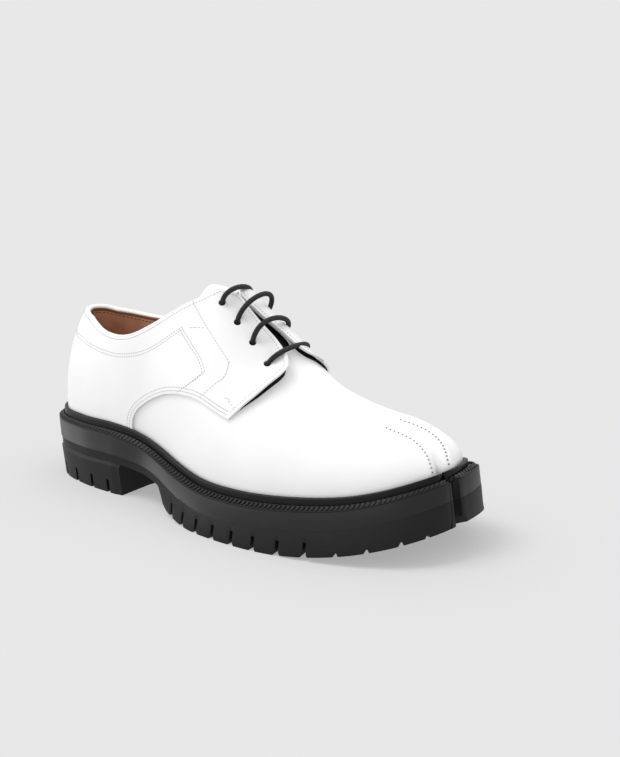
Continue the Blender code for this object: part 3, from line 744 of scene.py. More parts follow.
class Flank:  # one side of the upper: stations from the heel's back to the split, runs down from the ridge
    def __init__(self, side):
        self.side = side
        self.stations = stationsOver(flankSpans)
        grids = []
        lengths = []
        collars = []
        for station in self.stations:
            curve = ribCurve(station, side)
            run = runAlong(curve)
            at = np.linspace(0, run[-1], ribGrid["rows"])
            grids.append(np.stack([np.interp(at, run, curve[:, k]) for k in range(3)], axis=1))
            lengths.append(run[-1])
            over = curve[:, 2] > collarRule.at(sideNames[side], curve[:, 0])
            last = int(np.nonzero(over)[0][-1]) if over.any() else 0
            collars.append(run[last])
        self.points = np.array(grids)
        self.lengths = np.array(lengths)
        run = self.lengths[:, None] * np.linspace(0, 1, ribGrid["rows"])
        along = ease(*throatSag["start"], self.stations) * (1 - ease(*throatSag["stop"], self.stations))
        sag = along[:, None] * throatSag["across"][side].at("share", run)
        self.points[..., 2] -= throatSag["depth"] * sag
        self.collars = np.array(collars)
        self.normals = self.findNormals()

    def findNormals(self):
        normals = unit(np.cross(np.gradient(self.points, axis=0), np.gradient(self.points, axis=1)))
        middle = normals[len(normals) // 2, ribGrid["rows"] // 2]
        return normals if middle[1] * self.side > 0 else -normals

    def move(self, depth):
        self.points -= self.normals * depth[..., None]

    def top(self, q):  # distance of the topline and the facing's edge from the ridge
        collar = np.interp(q, self.stations, self.collars)
        facing = facingRule[self.side].at("run", q)
        return collar + (facing - collar) * ease(*facingStart, q)

    def length(self, q):
        return np.interp(q, self.stations, self.lengths)

    def place(self, q, run):
        q, run = np.broadcast_arrays(np.asarray(q, float), np.asarray(run, float))
        i = np.interp(q, self.stations, np.arange(len(self.stations)))
        j = np.clip(run / self.length(q), 0, 1) * (ribGrid["rows"] - 1)
        i0 = np.minimum(i.astype(int), len(self.stations) - 2)
        j0 = np.minimum(j.astype(int), ribGrid["rows"] - 2)
        a = (i - i0)[..., None]
        b = (j - j0)[..., None]
        found = []
        for grid in (self.points, self.normals):
            near = grid[i0, j0] * (1 - b) + grid[i0, j0 + 1] * b
            far = grid[i0 + 1, j0] * (1 - b) + grid[i0 + 1, j0 + 1] * b
            found.append(near * (1 - a) + far * a)
        return found[0], unit(found[1])


def joinNormals(outer, inner):  # the flanks share their normals where they meet
    for line in ((slice(None), 0), (0, slice(None)), (-1, slice(None))):
        shared = unit(outer.normals[line] + inner.normals[line])
        outer.normals[line] = shared
        inner.normals[line] = shared
    pole = outer.stations >= shoe["toePole"]
    crest = outer.normals[pole, 1].sum(axis=0) + inner.normals[pole, 1].sum(axis=0)
    for flank in (outer, inner):
        flank.normals[pole, 0] = unit(crest)


def placeAcross(side, q, run):  # runs under 0 lie past the ridge, on the other side
    here = flanks[side].place(q, np.maximum(run, 0))
    there = flanks[-side].place(q, np.maximum(-run, 0))
    past = (run < 0)[..., None]
    return [np.where(past, over, near) for near, over in zip(here, there)]


flanks = {side: Flank(side) for side in (-1, 1)}
joinNormals(flanks[-1], flanks[1])
for flank in flanks.values():
    sink = backSink["depth"] * (1 - ease(*backSink["span"], flank.stations))
    flank.move(troughDepth(flank.points) + sink[:, None])
for flank in flanks.values():
    flank.normals = flank.findNormals()
joinNormals(flanks[-1], flanks[1])
print("stage: flanks, foot runs at 90:", [round(float(flank.length(90)), 1) for flank in flanks.values()])

vampSheet = {
    "rows": 46, "thickness": 1.4, "behindEdge": 1.2, "behindSpan": (140, 150), "throatEnd": 181.0,
    "throatClose": 186.5, "smooth": 60,
    "spans": ((0, 40, 21), (40, 130, 46), (130, 200, 71), (200, 252, 27), (252, 305, 55)),
}
vampStations = stationsOver(vampSheet["spans"])


def shellTop(flank, q):  # the wall stops a little behind the quarter's edge and closes at the throat's end
    end = vampSheet["throatEnd"]
    top = np.maximum(flank.top(q) + vampSheet["behindEdge"] * ease(*vampSheet["behindSpan"], q), 0)
    at = np.clip((q - end) / (vampSheet["throatClose"] - end), 0, 1)
    last = float(flank.top(end)) + vampSheet["behindEdge"]
    return np.where(q < end, top, last * np.sqrt(1 - at**2))


def makeVamp():
    grids = []
    share = np.linspace(0, 1, vampSheet["rows"])
    for flank in flanks.values():
        top = shellTop(flank, vampStations)
        run = top[:, None] + (flank.length(vampStations) - top)[:, None] * share
        grids.append(flank.place(vampStations[:, None], run))
    return sheetPiece("vamp", grids, vampSheet, whiteMaterial)


liningSheet = {
    "rows": 34, "depth": 1.5, "thickness": 0.6, "below": 0.7, "foot": 3.0, "throatBelow": 7.0,
    "throatSpan": (136, 143), "edgeShadeEnd": 30.0, "smooth": 60,
}


def makeLining():
    grids = []
    fromEdge = []
    share = np.linspace(0, 1, liningSheet["rows"])
    q = vampStations[::2]
    for flank in flanks.values():
        deeper = liningSheet["throatBelow"] * ease(*liningSheet["throatSpan"], q)
        top = shellTop(flank, q) + liningSheet["below"] + deeper
        top = np.where(q > vampSheet["throatClose"], 0.0, top)
        run = top[:, None] + (flank.length(q) - liningSheet["foot"] - top)[:, None] * share
        points, normals = flank.place(q[:, None], run)
        grids.append((points - normals * liningSheet["depth"], normals))
        # forward of the throat's top the painted edge shade is left off
        plain = liningSheet["edgeShadeEnd"] * ease(*vampSheet["behindSpan"], q)
        fromEdge.append((run - top[:, None] + plain[:, None]).ravel())
    return sheetPiece("lining", grids, liningSheet, liningMaterial, {"fromEdge": np.concatenate(fromEdge)})


quarterSheet = {
    "rows": 34, "perSpan": 8, "thickness": 1.6, "offset": 1.7, "rounding": 0.55, "smooth": 50,
    "liftReach": 11.0,
    # lines across the quarter: x of the upper end, then x and run of the lower; run 0 stands for the foot
    "lines": {
        -1: ((0, 0, 0), (20, 20, 0), (40, 40, 0), (62, 66, 0), (80, 90.1, 0), (88, 90.2, 118.4),
             (96, 91.1, 111.0), (104, 95.2, 104.6), (111, 102.7, 98.8), (118, 112.4, 92.9),
             (125, 122.5, 87.3), (131, 134.1, 82.0), (137, 144.7, 77.5), (143, 155.9, 72.9),
             (149, 166.5, 68.6), (156, 176.2, 64.8), (163, 181.6, 54.8), (171, 189.0, 40.0),
             (179, 193.6, 25.6), (185.5, 194.5, 19.0), (190, 194.3, 16.6), (193.7, 193.7, 14.8)),
        1: ((0, 0, 0), (20, 20, 0), (40, 40, 0), (62, 66, 0), (80, 90.1, 0), (88, 90.4, 110.0),
            (96, 91.6, 103.0), (104, 96.0, 97.0), (111, 104.0, 91.5), (118, 114.0, 86.0),
            (125, 125.0, 81.0), (131, 136.0, 76.0), (138, 147.0, 72.0), (145, 158.0, 68.0),
            (152, 169.0, 64.0), (160, 180.0, 60.0), (168, 186.0, 50.0), (177, 192.4, 37.0),
            (186, 197.0, 25.0), (191.5, 198.3, 18.6), (195, 198.2, 16.4), (197.6, 197.6, 14.5)),
    },
    "seamStart": 4, "flapPoint": 15,  # the lines at which the lower edge turns
    "lowLift": {  # how far the lower edge stands off, by line
        -1: Rule(("line", "lift"), (
            (0, 0.0), (15, 0.0), (15.6, 0.5), (16.4, 1.8), (17.2, 3.1), (18.2, 4.0), (19.5, 4.2),
            (21, 3.8))),
        1: Rule(("line", "lift"), (
            (0, 0.0), (15, 0.0), (15.6, 0.4), (16.4, 0.8), (17.2, 1.0), (18.2, 1.2), (19.5, 1.4),
            (21, 1.4)))},
    "topLift": {
        -1: Rule(("line", "lift"), (
            (0, 0.0), (14, 0.1), (16, 0.5), (18, 1.3), (19, 2.2), (20, 3.2), (21, 3.8))),
        1: Rule(("line", "lift"), (
            (0, 0.0), (14, 0.1), (16, 0.2), (17, 0.5), (18, 1.5), (18.6, 2.4), (19.2, 2.6), (20, 2.2),
            (21, 1.4)))},
}
# A dark sheet on the vamp under each lifted flap: painted shade beneath it, and a painted shadow just past
# its edge
flapShadeSheet = {
    "height": 0.25, "thickness": 0.2, "inside": 13.0, "outside": {-1: 0.9, 1: 0.8}, "rows": 13,
    "wholeFrom": 185.0, "taper": 13, "widest": 0.4,
}


class Quarter:  # one quarter with its flap, laid over a flank
    def __init__(self, side):
        self.side = side
        self.flank = flanks[side]
        lines = np.array(quarterSheet["lines"][side], float)
        foot = lines[:, 2] == 0
        lines[foot, 2] = self.flank.length(lines[foot, 1])
        steps = np.arange(len(lines))
        self.u = np.linspace(0, len(lines) - 1, (len(lines) - 1) * quarterSheet["perSpan"] + 1)
        self.topX = smoothThrough(steps, lines[:, 0], self.u)
        self.topRun = self.flank.top(self.topX)
        self.lowX = np.empty_like(self.u)
        self.lowRun = np.empty_like(self.u)
        turns = (0, quarterSheet["seamStart"], quarterSheet["flapPoint"], len(lines) - 1)
        for start, end in zip(turns, turns[1:]):
            part = (self.u >= start) & (self.u <= end)
            span = slice(start, end + 1)
            self.lowX[part] = smoothThrough(steps[span], lines[span, 1], self.u[part])
            self.lowRun[part] = smoothThrough(steps[span], lines[span, 2], self.u[part])
        self.lowRun = np.minimum(self.lowRun, self.flank.length(self.lowX))
        low = placeAcross(side, self.lowX, self.lowRun)[0]
        high = placeAcross(side, self.topX, self.topRun)[0]
        self.width = np.maximum(np.linalg.norm(high - low, axis=1), 1e-3)
        self.lowLift = quarterSheet["lowLift"][side].at("lift", self.u)
        self.topLift = quarterSheet["topLift"][side].at("lift", self.u)

    def under(self, column, v):  # the flank below; v from 0 on the lower edge to 1 on the upper
        x = self.lowX[column] + (self.topX[column] - self.lowX[column]) * v
        run = self.lowRun[column] + (self.topRun[column] - self.lowRun[column]) * v
        return placeAcross(self.side, x, run)

    def place(self, column, v):
        points, normals = self.under(column, v)
        reach = quarterSheet["liftReach"]
        low = self.lowLift[column] * np.exp(-(v * self.width[column] / reach) ** 2)
        high = self.topLift[column] * np.exp(-((1 - v) * self.width[column] / reach) ** 2)
        lift = np.cbrt(np.clip(low, 0, None) ** 3 + np.clip(high, 0, None) ** 3)
        return points + normals * (quarterSheet["offset"] + lift)[..., None], normals

    def grid(self):
        column = np.arange(len(self.u))[:, None]
        v = np.linspace(0, 1, quarterSheet["rows"])[None, :]
        return self.place(*np.broadcast_arrays(column, v))

    def borderLine(self, distance, start, stop):  # inside the top edge, the corner and the lower edge
        inner = 0.05  # share of the width that tells which way is in
        every = np.arange(len(self.u))
        column = np.r_[every, every[-2::-1]]
        edge = np.r_[np.ones(len(every)), np.zeros(len(every) - 1)]
        points, normals = self.place(column, edge)
        inward = unit(np.cross(normals, np.gradient(points, axis=0)))
        inside = self.place(column, np.abs(edge - inner))[0] - points
        inward = inward * np.sign(np.sum(inward * inside))
        line = (points + inward * distance)[start:stop]
        return smoothLine(line, len(line)), smoothLine(normals[start:stop], len(line))

    def shadeSheet(self):  # a dark sheet under the lifted flap and a little past its edge: painted shade and painted shadow
        start = (quarterSheet["flapPoint"] + 1) * quarterSheet["perSpan"]
        column = np.arange(start, len(self.u))[:, None]
        widest = flapShadeSheet["widest"]
        outside = np.clip(flapShadeSheet["outside"][self.side] / self.width, 0, widest)[start:, None]
        outside = outside * ease(start - 1, start + flapShadeSheet["taper"], column)
        inside = np.clip(flapShadeSheet["inside"] / self.width, 0, 1)[start:, None]
        inside = np.where(self.topX[column] > flapShadeSheet["wholeFrom"], 1 + outside, inside)
        share = np.linspace(0, 1, flapShadeSheet["rows"])
        points, normals = self.under(column, inside * share - outside * (1 - share))
        return points + normals * flapShadeSheet["height"], normals


quarters = {side: Quarter(side) for side in (-1, 1)}
vamp = makeVamp()
lining = makeLining()
outerQuarter = sheetPiece("outerQuarter", [quarters[-1].grid()], quarterSheet, whiteMaterial)
innerQuarter = sheetPiece("innerQuarter", [quarters[1].grid()], quarterSheet, whiteMaterial)

# Eyelets: place along the shoe, distance from the ridge, and how the lace leaves them on each side
eyelets = {
    "radius": 2.2, "sides": 20, "depth": 9.0,
    "rows": Rule(("x", "run", "outerRise", "innerRise", "outerLift", "innerLift"), (
        (148.0, 17.0, 1.08, 0.46, -0.05, 0.22), (160.0, 18.2, 0.50, 0.66, 0.38, 0.44),
        (172.0, 19.0, 0.62, 0.56, 0.42, 0.00), (184.5, 21.6, 0.55, 0.46, 0.00, 0.00))),
}


def punchEyelets(piece, sides):
    mesh = bmesh.new()
    for x, run in eyelets["rows"].rows[:, :2]:
        for side in sides:
            point, normal = flanks[side].place(x, run)
            turn = Vector(normal.tolist()).to_track_quat("Z", "Y").to_matrix().to_4x4()
            place = Matrix.Translation(Vector(toFrame(point).tolist())) @ turn
            radius = eyelets["radius"] * mm
            bmesh.ops.create_cone(mesh, cap_ends=True, segments=eyelets["sides"], radius1=radius,
                                  radius2=radius, depth=eyelets["depth"] * mm, matrix=place)
    cutAway(piece, mesh)


punchEyelets(vamp, (-1, 1))
punchEyelets(lining, (-1, 1))
punchEyelets(outerQuarter, (-1,))
punchEyelets(innerQuarter, (1,))
settle(vamp, "white_leather", "upper")
settle(lining, "tan_leather")
settle(outerQuarter, "white_leather")
settle(innerQuarter, "white_leather")
# dark sheets under the flaps, painting the shade beneath them
for side, name in sideNames.items():
    shadeSheet = sheetPiece(name + "Underlay", [quarters[side].shadeSheet()], flapShadeSheet, shadeSheetMaterial)
    settle(shadeSheet, "tongue_leather")

# Rolled edge of the topline, from one facing round the heel to the other
bindingRoll = {
    "wide": 1.75, "tall": 1.05, "sides": 14, "middle": 0.1, "below": 0.4, "taper": 8, "blunt": 0.97,
    "smooth": 60, "spans": ((0, 40, 40), (40, 132, 70), (132, 146.5, 24)),
}


def makeBinding():
    centres = []
    normals = []
    q = stationsOver(bindingRoll["spans"])[::-1]
    for side, flank in flanks.items():
        point, normal = flank.place(q, np.maximum(flank.top(q) + bindingRoll["below"], 0))
        point = point + normal * bindingRoll["middle"]
        order = slice(None) if side < 0 else slice(-2, None, -1)
        centres.append(point[order])
        normals.append(normal[order])
    centres = np.concatenate(centres)
    normals = np.concatenate(normals)
    up = unit(np.cross(unit(np.gradient(centres, axis=0)), normals))
    up = up * np.sign(up[:, 2:3])
    turns = np.linspace(0, 2 * math.pi, bindingRoll["sides"], endpoint=False)
    count = len(centres)
    step = np.minimum(np.arange(count), np.arange(count)[::-1]) / bindingRoll["taper"]
    scale = np.sqrt(1 - np.clip(1 - step, 0, bindingRoll["blunt"]) ** 2)
    rings = (centres[:, None] + scale[:, None, None] * (
        normals[:, None] * (np.cos(turns) * bindingRoll["wide"])[None, :, None]
        + up[:, None] * (np.sin(turns) * bindingRoll["tall"])[None, :, None]))
    return ringLoft("toplineRoll", rings, bindingRoll["smooth"], whiteMaterial)


settle(makeBinding(), "white_leather")

# Tongue under the facings, white, with painted shade making it dark inside the throat
tongueSheet = {
    "thickness": 2.6, "columns": 29, "rows": 41, "rounding": 0.9, "paintedShade": (143.0, 146.0), "smooth": 60,
    "rule": Rule(("x", "drop", "halfWidth"), (
        (127, 13.0, 15.0), (131, 11.6, 19.5), (140, 8.8, 22.0), (150, 7.4, 22.5), (170, 7.0, 22.5),
        (186, 6.6, 22.0), (198, 6.0, 20.0))),
}


def makeTongue():
    rule = tongueSheet["rule"]
    x = np.linspace(rule.rows[0, 0], rule.rows[-1, 0], tongueSheet["rows"])
    share = np.linspace(-1, 1, tongueSheet["columns"])
    points = np.empty((len(x), len(share), 3))
    for k, part in enumerate(share):
        flank = flanks[-1 if part < 0 else 1]
        points[:, k] = flank.place(x, np.abs(part) * rule.at("halfWidth", x))[0]
        points[:, k, 2] -= rule.at("drop", x)
    normals = np.zeros_like(points)
    normals[..., 2] = 1.0
    # painted shade: past this span along the shoe the tongue turns dark, inside the throat
    paintedShade = ease(*tongueSheet["paintedShade"], points[..., 0])
    values = {"throatShade": paintedShade.ravel()}
    return sheetPiece("tonguePiece", [(points, normals)], tongueSheet, tongueMaterial, values)


settle(makeTongue(), "tongue_leather", "tongue")

# One lace through all the eyelets: a bar over each row, with runs under the facings between them
laceRun = {
    "radius": 1.55, "sides": 14, "perRun": (26, 12), "under": 2.5, "dive": 3.4, "smooth": 60,
    "order": ((0, -1), (0, 1), (2, 1), (2, -1), (3, -1), (3, 1), (1, 1), (1, -1)),  # row and side, in turn
}


def bezier(controls, count):
    t = np.linspace(0, 1, count)[:, None]
    a, b, c, d = controls
    return a * (1 - t) ** 3 + 3 * b * t * (1 - t) ** 2 + 3 * c * t**2 * (1 - t) + d * t**3


def makeLace():
    rows = [dict(zip(eyelets["rows"].columns, row)) for row in eyelets["rows"].rows]
    ends = []
    for row, side in laceRun["order"]:
        point, normal = flanks[side].place(rows[row]["x"], rows[row]["run"])
        rise = normal * rows[row][sideNames[side] + "Rise"]
        rise[2] += rows[row][sideNames[side] + "Lift"]
        ends.append((point - normal * laceRun["under"], normal, rise))
    path = []
    for i in range(len(ends) - 1):
        (start, startUp, startRise), (stop, stopUp, stopRise) = ends[i], ends[i + 1]
        if i % 2 == 0:  # a bar over the facings
            span = np.linalg.norm(stop - start)
            leave, arrive = startRise * span, stopRise * span
        else:
            leave, arrive = -startUp * laceRun["dive"], -stopUp * laceRun["dive"]
        line = bezier((start, start + leave, stop + arrive, stop), laceRun["perRun"][i % 2])
        path.append(line if i == 0 else line[1:])
    path = np.concatenate(path)
    along = unit(np.gradient(path, axis=0))
    side = np.cross(along[0], (0.0, 0.0, 1.0))
    rings = []
    turns = np.linspace(0, 2 * math.pi, laceRun["sides"], endpoint=False)
    for point, direction in zip(path, along):
        side = unit(side - direction * np.dot(side, direction))
        up = np.cross(direction, side)
        ring = np.cos(turns)[:, None] * side + np.sin(turns)[:, None] * up
        rings.append(point + laceRun["radius"] * ring)
    around = np.abs(turns / math.pi - 1)
    values = {"along": np.repeat(runAlong(path), laceRun["sides"]), "around": np.tile(around, len(path))}
    return ringLoft("lace", rings, laceRun["smooth"], laceMaterial, values)


settle(makeLace(), "lace_cotton", "lace_1", "lace_2", "lace_3", "lace_4")


# Sole: layers of four rails along the shoe, split at the toe
splitFlare = {  # the slot widens towards the toe, more at the tread's foot
    "span": (295.0, 305.0), "slot": (1.0, 3.6), "foot": (3.0, 6.6), "footHeight": 4.6, "tipGap": 0.12,
}


def halfRail(branch, wall, flare, nearer, stations):
    tip = int(np.argmax(branch[:, 0]))
    edge = branch[:tip + 1]
    flank = branch[tip:][::-1]
    low = edge[0, 0]
    high = edge[-1, 0] - splitFlare["tipGap"]
    x = low + stations / shoe["length"] * (high - low)
    edgeY = np.interp(x, edge[:, 0], edge[:, 1])
    wallY = wall + flare * ease(*splitFlare["span"], x)
    return x, edgeY, nearer(wallY, np.interp(x, flank[:, 0], flank[:, 1]))


def rails(inset, stations, flare=(0.0, 0.0)):  # outer edge, the split's two faces, inner edge
    loop = insetLoop(inset)
    splitY = shoe["splitY"]
    half = shoe["splitWidth"] / 2
    front = int(np.argmin(np.abs(loop[:, 1] - splitY) + (loop[:, 0] < shoe["length"] / 2) * shoe["length"]))
    outer = loop[:front + 1]
    inner = np.concatenate([loop[front:], loop[:1]])[::-1]
    outerX, outerY, outerWall = halfRail(outer, splitY - half, -flare[0], np.minimum, stations)
    innerX, innerY, innerWall = halfRail(inner, splitY + half, flare[1], np.maximum, stations)
    behind = stations < shoe["splitEnd"]
    atSplit = int(np.argmax(~behind)) if not behind.all() else len(stations) - 1
    width = innerY - outerY
    outerShare = (outerWall[atSplit] - outerY[atSplit]) / width[atSplit]
    innerShare = (innerWall[atSplit] - outerY[atSplit]) / width[atSplit]
    outerWall = np.where(behind, outerY + outerShare * width, outerWall)
    innerWall = np.where(behind, outerY + innerShare * width, innerWall)
    across = ((outerX, outerY), (outerX, outerWall), (innerX, innerWall), (innerX, innerY))
    return np.stack([np.stack(pair, axis=1) for pair in across], axis=1)


soleGrid = {
    "heelReach": 34.0, "toeReach": 42.0, "turnStart": 0.05, "turnSteps": 26, "pitch": 3.0, "decimals": 4,
}


def soleStations(high):  # closer together round the heel and the toe
    turn = np.linspace(soleGrid["turnStart"], math.pi / 2, soleGrid["turnSteps"])
    heel = soleGrid["heelReach"] * (1 - np.cos(turn))
    toe = shoe["length"] - soleGrid["toeReach"] * (1 - np.cos(turn))
    side = np.arange(soleGrid["heelReach"], shoe["length"] - soleGrid["toeReach"], soleGrid["pitch"])
    stations = np.unique(np.round(np.concatenate([heel, side, toe, [shoe["splitEnd"], high]]),
                                  soleGrid["decimals"]))
    return stations[stations <= high]


def slab(name, material, levels, stations, splitEnd, lean=0.0):
    # levels of inset, height and flare, from the bottom up; lean moves the lowest one's front back
    points = []
    count = len(stations)
    for number, (inset, height, *flare) in enumerate(levels):
        rail = rails(inset, stations, *flare)
        rail[..., 0] -= lean * (number == 0) * (stations[:, None] / stations[-1]) ** 2
        points.append(np.concatenate([rail, height(rail[..., 0])[..., None]], axis=2))
    points = np.array(points)
    split = stations >= splitEnd
    faces = []

    def at(layer, i, k):
        return (layer * count + i) * 4 + k

    for layer in (0, len(levels) - 1):
        for i in range(count - 1):
            for k in (0, 1, 2):
                if k != 1 or not split[i]:
                    faces.append([at(layer, i + a, k + b) for a, b in ((0, 0), (1, 0), (1, 1), (0, 1))])
    for low in range(len(levels) - 1):
        high = low + 1
        for i in range(count - 1):
            for k in (0, 1, 2, 3) if split[i] else (0, 3):
                faces.append((at(low, i, k), at(low, i + 1, k), at(high, i + 1, k), at(high, i, k)))
        ends = [(0, k) for k in (0, 1, 2)]
        ends += [(count - 1, k) for k in (0, 1, 2) if k != 1 or not split[-1]]
        ends += [(i, 1) for i in range(1, count - 1) if split[i] and not split[i - 1]]
        for i, k in ends:
            faces.append((at(low, i, k), at(low, i, k + 1), at(high, i, k + 1), at(high, i, k)))
    data = buildMesh(name, points.reshape(-1, 3), faces, material)
    editMesh(data, joinSole, turnOutward)
    return linkPiece(name, data)


treadRow = {"first": 136.3, "pitch": 12.1, "widening": 0.37, "count": 8}
treadNotches = [treadRow["first"] + treadRow["pitch"] * i + treadRow["widening"] * i**2
                for i in range(treadRow["count"])]
notchCut = {
    "reach": 15.0, "overhang": 4.0,  # how far a cutter goes in, and how far out and under
    # places along the shoe, width, height, and the top's width over the foot's
    "tread": (treadNotches, 2.4, 8.4, 0.9),
    "treadMouth": (treadNotches, 4.4, 2.0, 0.4),
    "toe": ((257.4, 273.7, 289.6, 299.5), 3.0, 2.1, 0.2),
    "heel": ((24.5, 39.0, 55.5, 70.6), 2.9, 9.0, 0.8),
}


def notchCutter(mesh, edge, inward, base, width, height, point):  # one wedge across the sole's edge
    across = np.array([-inward[1], inward[0]])
    overhang = notchCut["overhang"]
    spread = 1 + (1 - point) * overhang / height
    section = ((spread, base - overhang), (-spread, base - overhang), (-point, base + height),
               (point, base + height))
    corners = [(*(edge + inward * reach + across * share * width / 2), z)
               for reach in (-overhang, notchCut["reach"]) for share, z in section]
    verts = [mesh.verts.new(corner) for corner in toFrame(corners).tolist()]
    for face in ((0, 1, 2, 3), (7, 6, 5, 4), (0, 4, 5, 1), (1, 5, 6, 2), (2, 6, 7, 3), (3, 7, 4, 0)):
        mesh.faces.new([verts[k] for k in face])


def cutNotches(piece, inset, floor, *kinds):
    loop = insetLoop(inset)
    inwards = inwardNormals(loop)
    mesh = bmesh.new()
    for kind in kinds:
        places, *sizes = notchCut[kind]
        for place in places:
            for side in (-1, 1):
                sameSide = (loop[:, 1] - shoe["splitY"] / 2) * side > 0
                i = int(np.argmin(np.abs(loop[:, 0] - place) + ~sameSide * shoe["length"]))
                notchCutter(mesh, loop[i], inwards[i], float(floor(place)), *sizes)
    cutAway(piece, mesh)


soleEdge = {
    "round": 0.4, "segments": 2, "angle": 40, "smooth": 32, "midsoleRound": 0.08, "overlap": 1.2,
    "weltEdge": 0.9, "middleShare": 0.6,  # how much of the tread's foot its middle takes
}


def finishSole(piece, smooth=soleEdge["smooth"]):
    roundEdges(piece, soleEdge["round"], soleEdge["segments"], soleEdge["angle"])
    applyModifiers(piece)
    for vert in piece.data.vertices:
        vert.co.z = max(vert.co.z, 0.0)  # the rounding stays over the floor
    shade(piece, smooth)


def sideEdge(column):
    return lambda x: sideRule.at(column, x)


def makeOutsole():
    foot = sideEdge("treadLow")
    waist = sideEdge("treadTop")
    share = soleEdge["middleShare"]
    middle = lambda x: foot(x) * share + waist(x) * (1 - share)
    rise = lambda x: np.minimum(splitFlare["footHeight"], (outsoleTop(x) - outsoleBottom(x)) / 2)
    levels = ((foot, outsoleBottom, splitFlare["foot"]),
              (middle, lambda x: outsoleBottom(x) + rise(x), splitFlare["slot"]),
              (waist, lambda x: outsoleTop(x) + soleEdge["overlap"], splitFlare["slot"]))
    piece = slab("tread", treadMaterial, levels, soleStations(shoe["length"]), shoe["splitEnd"])
    cutNotches(piece, foot, outsoleBottom, "tread")
    cutNotches(piece, foot, outsoleBottom, "toe", "treadMouth")
    finishSole(piece)
    return piece


heelForm = {
    "foot": 2.9, "shoulder": 1.0, "top": 1.9, "bevel": 2.4,  # distances in, and the bevel's height
    "length": 78.5, "lean": 0.5, "corner": 0.7, "cornerSteps": 7, "smooth": 18,
}
unsplit = shoe["length"] + 1  # a split's end past the toe


def heelEdge(inset):  # with the corners of the breast rounded
    def edge(x):
        corner = heelForm["corner"]
        past = np.clip(np.asarray(x, float) - heelForm["length"] + corner, 0, corner)
        return inset + corner - np.sqrt(corner**2 - past**2)
    return edge


def makeHeel():
    shoulder = lambda x: outsoleBottom(x) - heelForm["bevel"]
    levels = ((heelEdge(heelForm["foot"]), level(0.0)), (heelEdge(heelForm["shoulder"]), shoulder),
              (heelEdge(heelForm["top"]), outsoleBottom))
    straight = heelForm["length"] - heelForm["corner"]
    breast = np.linspace(straight, heelForm["length"], heelForm["cornerSteps"])
    stations = np.unique(np.r_[soleStations(straight), breast])
    piece = slab("heelBlock", heelMaterial, levels, stations, unsplit, heelForm["lean"])
    cutNotches(piece, level(heelForm["foot"]), level(0.0), "heel")
    finishSole(piece, heelForm["smooth"])
    return piece


midsoleForm = {"lap": 0.05, "tuck": 0.2}  # the top goes in under the welt


def makeMidsole():
    rounding = soleEdge["midsoleRound"]
    slot = splitFlare["slot"]
    bottom = lambda x: midsoleBottom(x) - shoe["fitGap"]
    top = lambda x: weltTop(x) - soleEdge["weltEdge"]
    out = sideEdge("midsoleLow")
    levels = ((lambda x: out(x) + rounding, bottom, slot), (out, lambda x: bottom(x) + rounding, slot),
              (level(0.0), lambda x: top(x) - midsoleForm["lap"], slot),
              (level(midsoleForm["tuck"]), top, slot))
    piece = slab("midsoleLayer", midsoleMaterial, levels, soleStations(shoe["length"]), shoe["splitEnd"])
    finishSole(piece)
    return piece


insoleForm = {"inset": 2.8, "wall": 2.2, "bevel": 0.8, "end": 300.0, "smooth": 40}


def makeInsole():
    deeper = lambda x: innerCorner["depth"] * ease(*innerCorner["along"], x)
    edge = lambda x: footRule.at("inset", x) + deeper(x) + insoleForm["inset"]
    bottom = lambda x: midsoleTop(x) + shoe["fitGap"]
    wall = lambda x: bottom(x) + insoleForm["wall"]
    bevel = insoleForm["bevel"]
    levels = ((edge, bottom), (edge, wall), (lambda x: edge(x) + bevel, lambda x: wall(x) + bevel))
    piece = slab("insoleBoard", insoleMaterial, levels, soleStations(insoleForm["end"]), unsplit)
    shade(piece, insoleForm["smooth"])
    return piece


settle(makeOutsole(), "tread_rubber", "outsole")
settle(makeHeel(), "heel_rubber", "heel")
settle(makeMidsole(), "midsole_rubber", "midsole")
settle(makeInsole(), "tan_leather", "insole")

weltStrip = {
    "steps": 520, "lipWidth": 2.4, "lipHeight": 6.0, "lipSteps": 9, "lipGap": 0.5, "smooth": 38,
    "slope": 2.2, "sunk": 0.5, "tuck": 0.6, "tuckDrop": 0.02, "tuckTo": 3,
    # the rounded edge and the groove before the lip: distance in, height
    "edgeRows": ((0.0, -0.6), (0.15, -0.2), (0.5, 0.0), (0.85, -0.05)), "sunkAt": 1.05,
    "grooveRows": ((-1.1, -0.5), (-0.6, -1.3), (-0.1, -1.0)),
    "slideFrom": 0.5, "openFrom": 1.0, "openTo": 6.0, "slide": 4.5, "slideReach": 9.0,
}


def weltSection(foot):  # distance in from the edge, height over the flat top
    inner = foot - weltStrip["tuckTo"] * shoe["fitGap"]
    radius = weltStrip["lipWidth"] / 2
    outer = inner - weltStrip["lipWidth"]
    bottom = -shoe["weltThickness"]
    edge = -soleEdge["weltEdge"]
    section = [(weltStrip["tuck"], bottom), (weltStrip["tuck"], edge - weltStrip["tuckDrop"]), (0.0, edge)]
    section += weltStrip["edgeRows"]
    section.append((weltStrip["sunkAt"], -weltStrip["sunk"]))
    section += [(outer + inset, weltStrip["slope"] + height) for inset, height in weltStrip["grooveRows"]]
    centre = weltStrip["lipHeight"] - radius
    for turn in np.linspace(math.pi, 0, weltStrip["lipSteps"]):
        section.append((outer + radius + radius * math.cos(turn), centre + radius * math.sin(turn)))
    section.append((inner, bottom))
    return np.array(section)


